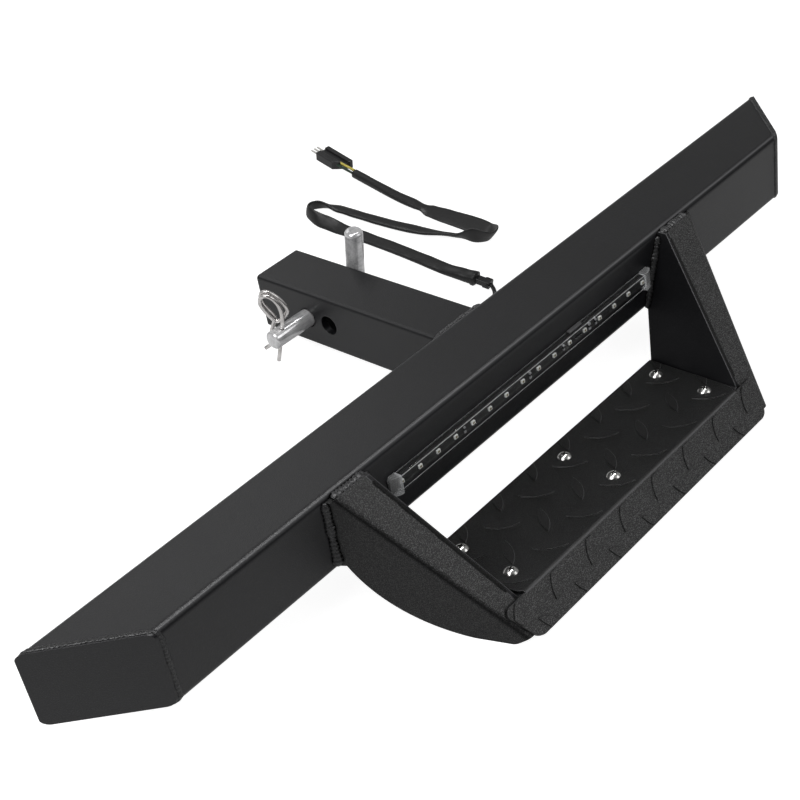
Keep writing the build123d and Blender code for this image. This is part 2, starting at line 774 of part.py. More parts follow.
# Hitch pin: round bar bent up at the far side, cross-drilled near its tip
# Its arm is the heavy end, so it lies tipped in the two holes
pin_place = Location((0, 0, -pin_drop), (0, pin_tilt_deg, 0))
arm_turn = math.radians(pin_arm_turn_deg)
arm_lean = math.radians(pin_arm_lean_deg)
arm_dir = Vector(-math.sin(arm_lean), -math.sin(arm_turn), math.cos(arm_turn)).normalized()
arm_end = Vector(pin_arm_x, 0, 0) + arm_dir * pin_arm_height
pin_path = FilletPolyline((-pin_near_reach, 0, 0), (pin_arm_x, 0, 0), tuple(arm_end), radius=pin_bend_r)
pin_bar = sweep(Plane(origin=(-pin_near_reach, 0, 0), z_dir=(1, 0, 0)) * Circle(pin_r), path=pin_path)
tip_edge = pin_bar.edges().filter_by(GeomType.CIRCLE).sort_by(Axis.X)[0]
pin_bar = chamfer(tip_edge, pin_end_chamfer)
arm_edge = pin_bar.edges().filter_by(GeomType.CIRCLE).sort_by(Axis.Z)[-1]
pin_bar = fillet(arm_edge, pin_arm_round)
clip_lean = math.radians(clip_lean_deg)
clip_yaw = math.radians(clip_yaw_deg)
leg_up = Vector(0, -math.sin(clip_lean), math.cos(clip_lean))
leg_side = Vector(0, math.cos(clip_lean), math.sin(clip_lean))
eye_side = leg_side * math.cos(clip_yaw) - Vector(1, 0, 0) * math.sin(clip_yaw)
clip_plane = Plane(origin=(-clip_x, 0, 0), x_dir=eye_side, z_dir=eye_side.cross(leg_up))
clip_hole = extrude(Plane(origin=(-clip_x, 0, 0), z_dir=leg_up) * Circle(clip_hole_r), 2 * pin_r, both=True)
hitch_pin = pin_place * (pin_bar - clip_hole)

# Clip: one wire, a straight leg through the pin, a coiled eye and a leg sprung round the pin
# Each point is across the eye, up the straight leg, and out of the plane of the eye
clip_points = [
    (0.0, -30.0, 0.0),
    (0.0, 18.0, 0.0),
    (2.4, 28.6, 0.0),
    (6.0, 35.8, 0.1),
    (11.0, 40.4, 0.2),
    (16.8, 41.4, 0.5),
    (20.6, 36.4, 1.1),
    (19.8, 28.8, 1.9),
    (14.6, 20.4, 2.9),
    (6.2, 10.9, 3.7),
    (2.2, 13.2, 3.8),
    (-1.4, 20.0, 3.8),
    (-3.2, 25.4, 3.8),
    (-0.8, 30.6, 3.8),
    (3.9, 35.8, 3.9),
    (9.0, 39.8, 4.0),
    (15.4, 42.4, 4.3),
    (19.8, 40.4, 4.7),
    (20.7, 34.6, 5.2),
    (18.2, 27.8, 5.9),
    (11.8, 19.4, 6.7),
    (6.4, 12.2, 7.4),
    (8.0, 4.4, 6.6),
    (8.8, -2.6, 5.8),
    (9.4, -10.6, 5.4),
    (7.8, -17.8, 5.4),
    (12.6, -23.6, 5.4),
]
clip_route = [tuple(clip_plane.from_local_coords(Vector(*p))) for p in clip_points]
hitch_clip = pin_place * round_tube(clip_route, clip_wire_r, "hitch_clip")

nodes = {
    "cross_tube": cross_tube,
    "end_cap_left": end_cap_left,
    "end_cap_right": end_cap_right,
    "cap_welds": cap_welds,
    "shank": shank,
    "shank_weld": shank_weld,
    "bracket_left": bracket_left,
    "bracket_right": bracket_right,
    "bracket_welds": bracket_welds,
    "step_tray": step_tray,
    "tread_plate": tread_plate,
    "tread_screws": tread_screws,
    "tread_nuts": tread_nuts,
    "led_base": led_base,
    "led_board": led_board,
    "led_chips": led_chips,
    "led_resistors": led_resistors,
    "led_lens": led_lens,
    "led_end_left": led_end_left,
    "led_end_right": led_end_right,
    "led_clip": led_clip,
    "wire_grommet": wire_grommet,
    "lead_wire_a": lead_wire_a,
    "lead_wire_b": lead_wire_b,
    "connector_socket": connector_socket,
    "connector_plug": connector_plug,
    "sleeve_collar": sleeve_collar,
    "harness_sleeve": harness_sleeve,
    "trailer_plug": trailer_plug,
    "plug_prongs": plug_prongs,
    "hitch_pin": hitch_pin,
    "hitch_clip": hitch_clip,
}
nodes.update(plug_wires)

for name, shape in nodes.items():
    export_step(shape, "parts/" + name + ".step")
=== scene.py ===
import bpy
import bmesh
import math
from mathutils import Matrix, Vector, noise


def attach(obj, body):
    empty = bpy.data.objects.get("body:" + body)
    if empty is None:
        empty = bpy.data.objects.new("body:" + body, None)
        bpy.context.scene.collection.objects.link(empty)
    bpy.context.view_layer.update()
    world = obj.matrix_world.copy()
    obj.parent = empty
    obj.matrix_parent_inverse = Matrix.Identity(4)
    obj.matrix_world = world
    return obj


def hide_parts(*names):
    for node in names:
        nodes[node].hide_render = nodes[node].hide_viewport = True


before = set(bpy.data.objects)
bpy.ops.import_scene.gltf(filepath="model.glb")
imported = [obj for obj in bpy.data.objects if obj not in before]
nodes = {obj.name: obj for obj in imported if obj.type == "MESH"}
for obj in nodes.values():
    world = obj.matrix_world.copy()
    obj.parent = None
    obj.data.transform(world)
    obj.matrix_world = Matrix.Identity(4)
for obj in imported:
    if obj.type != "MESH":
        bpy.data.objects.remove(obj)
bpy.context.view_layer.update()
print("frame loaded,", len(nodes), "nodes")


def addObject(name, data):
    made = bpy.data.objects.new(name, data)
    bpy.context.scene.collection.objects.link(made)
    return made


# Camera, at the photograph's viewing angle

cameraSetup = {
    "place": (-0.7123, -0.8490, 0.6538),
    "right": (0.65625, -0.73915, -0.15164),
    "up": (0.51266, 0.28932, 0.80837),
    "back": (-0.55364, -0.60824, 0.5688),
    "lens": 67.78,
}
cameraData = bpy.data.cameras.new("camera")
camera = addObject("camera", cameraData)
turn = Matrix((cameraSetup["right"], cameraSetup["up"], cameraSetup["back"])).transposed()
camera.matrix_world = Matrix.Translation(cameraSetup["place"]) @ turn.to_4x4()
cameraData.lens = cameraSetup["lens"]
cameraData.sensor_width = 36
cameraData.clip_start = 0.05
cameraData.clip_end = 50
bpy.context.scene.camera = camera
print("camera placed")


# Surface that the step and its harness lie on in the photograph

laying = {"tiltDeg": 11.04, "shankEndY": 0.0559, "shankLow": -0.0254}
layTan = math.tan(math.radians(laying["tiltDeg"]))
layUp = Vector((0, -layTan, 1)).normalized()


def layHeight(y):
    # height of the lying surface at y
    return laying["shankLow"] - layTan * (laying["shankEndY"] - y)


# Helpers for shader nodes

def newMaterial(name):
    # a material with its tree and its main shader
    material = bpy.data.materials.new(name)
    material.use_nodes = True
    tree = material.node_tree
    return material, tree, tree.nodes["Principled BSDF"]


def newGroup(name, inputs, outputs):
    # a shader node group with named float or colour sockets
    group = bpy.data.node_groups.new(name, "ShaderNodeTree")
    for label, kind, value in inputs:
        socket = group.interface.new_socket(name=label, in_out="INPUT", socket_type="NodeSocket" + kind)
        socket.default_value = value
    for label, kind in outputs:
        group.interface.new_socket(name=label, in_out="OUTPUT", socket_type="NodeSocket" + kind)
    return group, group.nodes.new("NodeGroupInput"), group.nodes.new("NodeGroupOutput")


def putOut(group, made, **sockets):
    for label, socket in sockets.items():
        group.links.new(socket, made.inputs[label])


def addNode(tree, kind, **settings):
    node = tree.nodes.new(kind)
    for key, value in settings.items():
        setattr(node, key, value)
    return node


def feed(tree, target, value):
    # link a socket, or set a number or colour
    if isinstance(value, (int, float, tuple)):
        target.default_value = value
    else:
        tree.links.new(value, target)


def mathNode(tree, operation, first, second=None, clamp=False):
    # a math node; each input is a socket or a number
    node = addNode(tree, "ShaderNodeMath", operation=operation, use_clamp=clamp)
    feed(tree, node.inputs[0], first)
    if second is not None:
        feed(tree, node.inputs[1], second)
    return node.outputs[0]


def times(tree, *values):
    # the product of sockets and numbers
    product = values[0]
    for value in values[1:]:
        product = mathNode(tree, "MULTIPLY", product, value)
    return product


def remainder(tree, value):
    # what is left of 1
    return mathNode(tree, "SUBTRACT", 1.0, value)


def nearness(tree, value, middle, spread):
    # 1 where a value meets the middle, falling to 0 a spread away from it
    away = mathNode(tree, "ABSOLUTE", mathNode(tree, "SUBTRACT", value, middle))
    return mathNode(tree, "SUBTRACT", 1.0, mathNode(tree, "DIVIDE", away, spread), clamp=True)


def spanned(tree, factor, limits):
    # a value between two limits, such as a roughness
    low, high = limits
    return mathNode(tree, "ADD", times(tree, factor, high - low), low)


def rampMask(tree, value, limits, interpolation="LINEAR"):
    # 0 at the first limit and 1 at the second
    node = addNode(tree, "ShaderNodeMapRange", interpolation_type=interpolation)
    tree.links.new(value, node.inputs["Value"])
    node.inputs["From Min"].default_value, node.inputs["From Max"].default_value = limits
    return node.outputs[0]


def splitVector(tree, vector):
    node = addNode(tree, "ShaderNodeSeparateXYZ")
    tree.links.new(vector, node.inputs[0])
    return node.outputs


def paint(tree, shader, colour, roughness):
    feed(tree, shader.inputs["Base Color"], colour)
    feed(tree, shader.inputs["Roughness"], roughness)


def reliefNormal(tree, shader, height, depth, normal=None):
    # small relief, over a rounded edge where its normal is given
    bump = addNode(tree, "ShaderNodeBump")
    bump.inputs["Distance"].default_value = depth
    tree.links.new(height, bump.inputs["Height"])
    if normal is not None:
        tree.links.new(normal, bump.inputs["Normal"])
    tree.links.new(bump.outputs[0], shader.inputs["Normal"])


def mixColour(tree, factor, first, second):
    # a colour between two; each is a socket or a colour
    node = addNode(tree, "ShaderNodeMix", data_type="RGBA")
    for slot, value in ((0, factor), (6, first), (7, second)):
        feed(tree, node.inputs[slot], value)
    return node.outputs[2]


def useGroup(tree, group, **values):
    # the group as a node, its inputs set by name with _ for a space
    node = addNode(tree, "ShaderNodeGroup", node_tree=group)
    for key, value in values.items():
        node.inputs[key.replace("_", " ")].default_value = value
    return node


def noiseTexture(tree, coordinates, scale, detail=2.0, roughness=0.5):
    node = addNode(tree, "ShaderNodeTexNoise")
    tree.links.new(coordinates, node.inputs["Vector"])
    node.inputs["Detail"].default_value = detail
    node.inputs["Roughness"].default_value = roughness
    feed(tree, node.inputs["Scale"], scale)
    return node.outputs["Fac"]


def placeInObject(tree):
    return addNode(tree, "ShaderNodeTexCoord").outputs["Object"]


# Shader groups that several finishes share

grainSetup = {"speckLimits": (0.50, 0.66), "patchSize": 14.0}


def buildCoatGrain():
    # orange peel and fine specks of a baked powder coat
    group, given, made = newGroup(
        "coatGrain",
        [("Peel Size", "Float", 1100.0), ("Speck Size", "Float", 1900.0), ("Speck Share", "Float", 0.5)],
        [("Height", "Float"), ("Specks", "Float"), ("Patches", "Float")],
    )
    where = placeInObject(group)
    peel = noiseTexture(group, where, given.outputs["Peel Size"], 2.0, 0.55)
    speck = noiseTexture(group, where, given.outputs["Speck Size"], 1.0, 0.5)
    sharp = rampMask(group, speck, grainSetup["speckLimits"], "SMOOTHSTEP")
    height = mathNode(group, "ADD", peel, times(group, sharp, given.outputs["Speck Share"]))
    patches = noiseTexture(group, where, grainSetup["patchSize"], 3.0, 0.6)
    putOut(group, made, Height=height, Specks=sharp, Patches=patches)
    return group


creviceSetup = {"openLimits": (0.35, 0.88), "samples": 6}


def buildCreviceShade():
    # 1 on open faces, falling to 0 down in seams and at the foot of raised parts
    group, given, made = newGroup("creviceShade", [("Reach", "Float", 0.002)], [("Open", "Float")])
    seen = addNode(group, "ShaderNodeAmbientOcclusion", samples=creviceSetup["samples"])
    group.links.new(given.outputs["Reach"], seen.inputs["Distance"])
    putOut(group, made, Open=rampMask(group, seen.outputs["AO"], creviceSetup["openLimits"]))
    return group


edgeSetup = {"turnLimits": (0.995, 0.86), "samples": 6}


def buildEdgeSoft():
    # rounded edge normal and a mask that is 1 on the edges
    group, given, made = newGroup(
        "edgeSoft",
        [("Radius", "Float", 0.0008)],
        [("Normal", "Vector"), ("Edge", "Float")],
    )
    bevel = addNode(group, "ShaderNodeBevel", samples=edgeSetup["samples"])
    group.links.new(given.outputs["Radius"], bevel.inputs["Radius"])
    geometry = addNode(group, "ShaderNodeNewGeometry")
    dot = addNode(group, "ShaderNodeVectorMath", operation="DOT_PRODUCT")
    group.links.new(bevel.outputs[0], dot.inputs[0])
    group.links.new(geometry.outputs["True Normal"], dot.inputs[1])
    edge = rampMask(group, dot.outputs["Value"], edgeSetup["turnLimits"])
    putOut(group, made, Normal=bevel.outputs[0], Edge=edge)
    return group


platedSetup = {"pitLimits": (0.66, 0.74), "patchSize": 90.0}


def buildPlatedSkin():
    # drawn streaks, patches and small pits of zinc plate
    group, given, made = newGroup(
        "platedSkin",
        [
            ("Streak Size", "Float", 700.0),
            ("Stretch", "Vector", (0.04, 1.0, 1.0)),
            ("Pit Size", "Float", 1500.0),
        ],
        [("Streaks", "Float"), ("Pits", "Float"), ("Patches", "Float")],
    )
    where = placeInObject(group)
    stretch = addNode(group, "ShaderNodeVectorMath", operation="MULTIPLY")
    group.links.new(where, stretch.inputs[0])
    group.links.new(given.outputs["Stretch"], stretch.inputs[1])
    streaks = noiseTexture(group, stretch.outputs[0], given.outputs["Streak Size"], 2.0, 0.6)
    spots = noiseTexture(group, where, given.outputs["Pit Size"], 1.0, 0.4)
    pits = rampMask(group, spots, platedSetup["pitLimits"], "SMOOTHSTEP")
    patches = noiseTexture(group, where, platedSetup["patchSize"], 3.0, 0.6)
    putOut(group, made, Streaks=streaks, Pits=pits, Patches=patches)
    return group


def buildMouldSkin():
    # fine spark-eroded skin and flow patches of moulded plastic or rubber
    group, given, made = newGroup(
        "mouldSkin",
        [("Grain Size", "Float", 2600.0), ("Flow Size", "Float", 120.0)],
        [("Height", "Float"), ("Flow", "Float")],
    )
    where = placeInObject(group)
    grain = noiseTexture(group, where, given.outputs["Grain Size"], 2.0, 0.6)
    flow = noiseTexture(group, where, given.outputs["Flow Size"], 3.0, 0.6)
    putOut(group, made, Height=grain, Flow=flow)
    return group


coatGrain = buildCoatGrain()
creviceShade = buildCreviceShade()
edgeSoft = buildEdgeSoft()
platedSkin = buildPlatedSkin()
mouldSkin = buildMouldSkin()


# Finishes

# painted highlights: the edge colour on edges, the level-edge colour on tread leaf edges, the corner share on
# tube corners and bead tops; painted shade: the bend, under and level shares darken bends, tube corner
# undersides and level faces, and reach sets how far the crevice shade goes
coatLooks = {
    "blackCoat": {
        "dark": (0.0055, 0.0056, 0.0066, 1), "light": (0.014, 0.0142, 0.0165, 1),
        "edge": (0.03, 0.03, 0.033, 1), "levelEdgeHighlight": (0.03, 0.03, 0.033, 1), "levelOpen": 0.0,
        "reach": 0.0024, "bendShade": 0.0, "corner": 0.42, "under": 0.7, "levelShade": 0.0,
        "roughness": (0.32, 0.42), "peel": 900.0, "speck": 1300.0, "share": 0.5, "depth": 0.00007,
        "specks": 0.25, "flat": 1.0, "patch": 0.8, "specular": 0.38, "edgeRadius": 0.0009,
    },
    "speckledCoat": {
        "dark": (0.0055, 0.0055, 0.0058, 1), "light": (0.15, 0.15, 0.15, 1),
        "edge": (0.03, 0.03, 0.031, 1), "levelEdgeHighlight": (0.26, 0.26, 0.265, 1), "levelOpen": 1.0,
        "reach": 0.0026, "bendShade": 0.95, "corner": 0.34, "under": 0.0, "levelShade": 0.95,
        "roughness": (0.34, 0.46), "peel": 900.0, "speck": 1500.0, "share": 1.0, "depth": 0.00012,
        "specks": 0.70, "flat": 0.70, "patch": 0.12, "specular": 0.4, "edgeRadius": 0.0004,
    },
    "weldCoat": {
        "dark": (0.005, 0.005, 0.0056, 1), "light": (0.018, 0.018, 0.020, 1),
        "edge": (0.03, 0.03, 0.032, 1), "levelEdgeHighlight": (0.03, 0.03, 0.033, 1), "levelOpen": 0.0,
        "reach": 0.0030, "bendShade": 0.0, "corner": 0.4, "under": 0.0, "levelShade": 0.0, "roughness": (0.30, 0.46),
        "peel": 600.0, "speck": 900.0, "share": 1.0, "depth": 0.0003, "specks": 0.4, "flat": 1.0,
        "patch": 0.6, "specular": 0.5, "edgeRadius": 0.0004,
    },
}

# painted highlight: a light line is painted along the edges of the tray
coatLooks["trayCoat"] = {
    **coatLooks["blackCoat"], "edge": (0.30, 0.30, 0.31, 1), "edgeRadius": 0.0012, "corner": 0.0,
    "specular": 0.26,
}
# painted shade: near-black seam beads stand in for shadowed cracks, with a paler painted highlight on their
# edges
coatLooks["seamShadeCoat"] = {
    **coatLooks["weldCoat"], "dark": (0.001, 0.001, 0.001, 1), "light": (0.005, 0.005, 0.005, 1),
    "edge": (0.12, 0.12, 0.12, 1), "corner": 0.0, "specks": 0.2, "specular": 0.2,
}
coatLooks["shankCoat"] = {**coatLooks["blackCoat"], "corner": 0.12, "under": 0.3, "specks": 0.34}


# which faces a coat paints with shade, highlights or more specks, by how far they look up or aside
coatSetup = {
    "slopeGain": 4.4,
    "bendAt": 0.64, "bendSpread": 0.42,
    "underAt": 0.46, "underSpread": 0.22,
    "levelFrom": 0.8, "levelGain": 5.0, "levelShadeDepth": 0.36,
    "cornerAt": 0.82, "cornerSpread": 0.13, "cornerHighlightColour": (0.28, 0.28, 0.29, 1),
    "frontGain": -7.0, "edgeHighlightShare": 0.6, "patchShare": 0.5,
    "creviceShadeColour": (0.002, 0.002, 0.002, 1),
}


def coatMasks(tree, look):
    # painted shade that a face takes (lit is 1 where it takes none), how level it is, how near a tube corner
    # it is for the painted highlight, and how many specks it shows
    geometry = addNode(tree, "ShaderNodeNewGeometry")
    facing = splitVector(tree, geometry.outputs["True Normal"])
    rise = mathNode(tree, "MAXIMUM", facing[2], 0.0)
    above = mathNode(tree, "SUBTRACT", rise, coatSetup["levelFrom"])
    level = mathNode(tree, "MULTIPLY", above, coatSetup["levelGain"], clamp=True)
    # painted shade: a bend between an upright cheek and a slope is kept dark
    aside = mathNode(tree, "ABSOLUTE", facing[0])
    bendShadeMask = times(tree, nearness(tree, aside, coatSetup["bendAt"], coatSetup["bendSpread"]), look["bendShade"])
    # painted shade: level faces are painted darker
    levelShadeMask = times(tree, level, coatSetup["levelShadeDepth"] * look["levelShade"])
    # painted shade: the lower half of a rounded tube corner is painted darker
    under = times(tree, nearness(tree, rise, coatSetup["underAt"], coatSetup["underSpread"]), look["under"])
    lit = mathNode(tree, "SUBTRACT", remainder(tree, bendShadeMask), levelShadeMask)
    lit = times(tree, lit, remainder(tree, under))
    # painted light: specks show most on the slopes, where the light catches them, and less on upright and
    # level faces
    half = times(tree, rise, remainder(tree, rise))
    slope = mathNode(tree, "MULTIPLY", half, coatSetup["slopeGain"], clamp=True)
    flat = times(tree, remainder(tree, times(tree, level, look["levelShade"])), look["flat"])
    share = times(tree, mathNode(tree, "MAXIMUM", slope, flat), lit, look["specks"])
    # painted highlight: faces that rise like the upper half of a tube corner
    corner = nearness(tree, rise, coatSetup["cornerAt"], coatSetup["cornerSpread"])
    return lit, level, share, times(tree, corner, look["corner"])


def coatMaterial(name):
    look = coatLooks[name]
    material, tree, shader = newMaterial(name)
    grain = useGroup(
        tree, coatGrain, Peel_Size=look["peel"], Speck_Size=look["speck"], Speck_Share=look["share"]
    )
    edge = useGroup(tree, edgeSoft, Radius=look["edgeRadius"])
    lit, level, share, corner = coatMasks(tree, look)
    patch = times(tree, grain.outputs["Patches"], coatSetup["patchShare"], look["patch"])
    speck = times(tree, grain.outputs["Specks"], share)
    colour = mixColour(tree, mathNode(tree, "ADD", patch, speck, clamp=True), look["dark"], look["light"])
    # painted highlight: the edges of the coat are painted lighter, in the edge colour
    wearAndEdgeHighlight = times(tree, edge.outputs["Edge"], coatSetup["edgeHighlightShare"])
    colour = mixColour(tree, wearAndEdgeHighlight, colour, look["edge"])
    # painted highlight: on the level tread only the leaf edges that face the front are painted light
    leaning = splitVector(tree, edge.outputs["Normal"])
    fronting = mathNode(tree, "MULTIPLY", leaning[1], coatSetup["frontGain"], clamp=True)
    colour = mixColour(tree, times(tree, edge.outputs["Edge"], level, fronting), colour, look["levelEdgeHighlight"])
    # painted highlight along a rounded tube corner and the fold of the tread
    colour = mixColour(tree, corner, colour, coatSetup["cornerHighlightColour"])
    # painted shade: seams and the foot of raised parts are painted near black, which level faces skip where
    # levelOpen is 1
    seam = useGroup(tree, creviceShade, Reach=look["reach"]).outputs["Open"]
    clear = mathNode(tree, "MAXIMUM", seam, times(tree, level, look["levelOpen"]))
    colour = mixColour(tree, clear, coatSetup["creviceShadeColour"], colour)
    paint(tree, shader, colour, spanned(tree, grain.outputs["Patches"], look["roughness"]))
    # painted shade: a dark mirror share takes the gloss out of seams, bends, tube corner undersides and, for
    # some coats, level faces
    glossShade = remainder(tree, times(tree, clear, lit))
    tree.links.new(glossShade, shader.inputs["Metallic"])
    shader.inputs["Specular IOR Level"].default_value = look["specular"]
    reliefNormal(tree, shader, grain.outputs["Height"], look["depth"], edge.outputs["Normal"])
    return material


metalLooks = {
    "pinZinc": {
        "dark": (0.48, 0.48, 0.49, 1), "light": (0.98, 0.98, 0.99, 1), "mirror": 0.42, "reach": 0.0012,
        "roughness": (0.10, 0.20), "stretch": (0.05, 1.0, 1.0), "depth": 0.00003, "edgeRadius": 0.0006,
    },
    "clipZinc": {
        "dark": (0.55, 0.53, 0.52, 1), "light": (0.82, 0.80, 0.79, 1), "mirror": 0.8, "reach": 0.0008,
        "roughness": (0.12, 0.24), "stretch": (1.0, 1.0, 0.06), "depth": 0.000008, "edgeRadius": 0.0003,
    },
    "screwZinc": {
        "dark": (0.40, 0.40, 0.39, 1), "light": (0.80, 0.79, 0.77, 1), "mirror": 0.92, "reach": 0.0032,
        "roughness": (0.10, 0.22), "stretch": (1.0, 1.0, 1.0), "depth": 0.000008, "edgeRadius": 0.0003,
    },
    "nutZinc": {
        "dark": (0.45, 0.44, 0.42, 1), "light": (0.72, 0.71, 0.69, 1), "mirror": 0.8, "reach": 0.0014,
        "roughness": (0.2, 0.34), "stretch": (1.0, 1.0, 1.0), "depth": 0.00001, "edgeRadius": 0.0004,
    },
    "prongNickel": {
        "dark": (0.62, 0.61, 0.58, 1), "light": (0.88, 0.87, 0.84, 1), "mirror": 0.85, "reach": 0.0008,
        "roughness": (0.08, 0.18), "stretch": (1.0, 0.05, 1.0), "depth": 0.000006, "edgeRadius": 0.0002,
    },
}


metalSetup = {
    "patchShare": 0.7, "streakShare": 0.3, "spreadLimits": (0.35, 0.65), "pitShare": 0.4,
    "pitColour": (0.2, 0.19, 0.18, 1), "creviceShadeColour": (0.02, 0.02, 0.02, 1),
}


def metalMaterial(name):
    look = metalLooks[name]
    material, tree, shader = newMaterial(name)
    skin = useGroup(tree, platedSkin, Stretch=look["stretch"])
    edge = useGroup(tree, edgeSoft, Radius=look["edgeRadius"])
    patches = times(tree, skin.outputs["Patches"], metalSetup["patchShare"])
    streaks = times(tree, skin.outputs["Streaks"], metalSetup["streakShare"])
    spread = rampMask(tree, mathNode(tree, "ADD", patches, streaks), metalSetup["spreadLimits"])
    colour = mixColour(tree, spread, look["dark"], look["light"])
    pits = times(tree, skin.outputs["Pits"], metalSetup["pitShare"])
    colour = mixColour(tree, pits, colour, metalSetup["pitColour"])
    # painted shade: recesses and seams are painted near black
    clear = useGroup(tree, creviceShade, Reach=look["reach"]).outputs["Open"]
    colour = mixColour(tree, clear, metalSetup["creviceShadeColour"], colour)
    paint(tree, shader, colour, spanned(tree, skin.outputs["Streaks"], look["roughness"]))
    shader.inputs["Metallic"].default_value = look["mirror"]
    reliefNormal(tree, shader, skin.outputs["Streaks"], look["depth"], edge.outputs["Normal"])
    return material


plasticLooks = {
    "stripBase": {
        "dark": (0.010, 0.010, 0.011, 1), "light": (0.02, 0.02, 0.021, 1), "roughness": (0.4, 0.55),
        "grain": 2600.0, "depth": 0.00003, "edgeRadius": 0.0003, "specular": 0.4,
    },
    "stripClip": {
        "dark": (0.07, 0.07, 0.072, 1), "light": (0.16, 0.16, 0.165, 1), "roughness": (0.3, 0.45),
        "grain": 1800.0, "depth": 0.00003, "edgeRadius": 0.0004, "specular": 0.5,
    },
    "grommetRubber": {
        "dark": (0.012, 0.012, 0.012, 1), "light": (0.028, 0.028, 0.027, 1), "roughness": (0.55, 0.75),
        "grain": 1500.0, "depth": 0.00006, "edgeRadius": 0.0005, "specular": 0.35,
    },
    "leadSkin": {
        "dark": (0.005, 0.005, 0.0055, 1), "light": (0.012, 0.012, 0.013, 1), "roughness": (0.32, 0.45),
        "grain": 2200.0, "depth": 0.00003, "edgeRadius": 0.0002, "specular": 0.5,
    },
    "connectorShell": {
        "dark": (0.005, 0.005, 0.0055, 1), "light": (0.014, 0.014, 0.015, 1), "roughness": (0.22, 0.36),
        "grain": 2400.0, "depth": 0.00003, "edgeRadius": 0.0004, "specular": 0.5,
    },
    "plugBody": {
        "dark": (0.005, 0.005, 0.0058, 1), "light": (0.020, 0.0195, 0.020, 1), "roughness": (0.26, 0.42),
        "grain": 1300.0, "depth": 0.00008, "edgeRadius": 0.0006, "specular": 0.5,
    },
}
# dark and light colour and roughness of each wire's skin
wireLooks = {
    "yellowWire": ((0.62, 0.50, 0.06, 1), (0.86, 0.74, 0.16, 1), (0.32, 0.45)),
    "brownWire": ((0.045, 0.018, 0.010, 1), (0.11, 0.045, 0.024, 1), (0.34, 0.48)),
    "greenWire": ((0.006, 0.022, 0.012, 1), (0.014, 0.05, 0.026, 1), (0.34, 0.48)),
    "whiteWire": ((0.55, 0.53, 0.52, 1), (0.74, 0.72, 0.71, 1), (0.34, 0.48)),
}
for name, (dark, light, roughness) in wireLooks.items():
    plasticLooks[name] = {
        "dark": dark, "light": light, "roughness": roughness,
        "grain": 2400.0, "depth": 0.00002, "edgeRadius": 0.0002, "specular": 0.5,
    }


def plasticMaterial(name):
    look = plasticLooks[name]
    material, tree, shader = newMaterial(name)
    skin = useGroup(tree, mouldSkin, Grain_Size=look["grain"])
    edge = useGroup(tree, edgeSoft, Radius=look["edgeRadius"])
    flow = skin.outputs["Flow"]
    colour = mixColour(tree, flow, look["dark"], look["light"])
    paint(tree, shader, colour, spanned(tree, flow, look["roughness"]))
    shader.inputs["Specular IOR Level"].default_value = look["specular"]
    reliefNormal(tree, shader, skin.outputs["Height"], look["depth"], edge.outputs["Normal"])
    return material


def mouldedSkin(tree, look):
    skin = useGroup(tree, mouldSkin, Grain_Size=look["grainSize"], Flow_Size=look["flowSize"])
    return skin.outputs["Height"], skin.outputs["Flow"]


sleeveLook = {
    "dark": (0.007, 0.007, 0.0073, 1), "light": (0.014, 0.014, 0.0145, 1), "roughness": (0.34, 0.46),
    "specular": 0.4, "grainShare": 0.25, "flowSize": 160.0, "grainSize": 1500.0, "depth": 0.0002,
}


def sleeveMaterial():
    # soft lay-flat sleeve, matt with faint wrinkles
    look = sleeveLook
    material, tree, shader = newMaterial("sleeveSkin")
    grain, flow = mouldedSkin(tree, look)
    colour = mixColour(tree, flow, look["dark"], look["light"])
    paint(tree, shader, colour, spanned(tree, grain, look["roughness"]))
    shader.inputs["Specular IOR Level"].default_value = look["specular"]
    both = mathNode(tree, "ADD", times(tree, grain, look["grainShare"]), flow)
    reliefNormal(tree, shader, both, look["depth"])
    return material


lensLooks = {
    "clearLens": {
        "colour": (0.97, 0.98, 0.98, 1), "haze": (0.80, 0.81, 0.82, 1), "clear": 1.0,
        "roughness": (0.01, 0.03), "ior": 1.12, "edge": 1.6,
    },
    "paleEnd": {
        "colour": (0.92, 0.93, 0.94, 1), "haze": (0.34, 0.35, 0.36, 1), "clear": 0.74,
        "roughness": (0.03, 0.08), "ior": 1.10, "edge": 0.25,
    },
}


lensSetup = {
    "grainSize": 900.0, "flowSize": 60.0, "edgeRadius": 0.0007, "rimHighlight": (0.92, 0.93, 0.94, 1), "onward": 0.9,
}


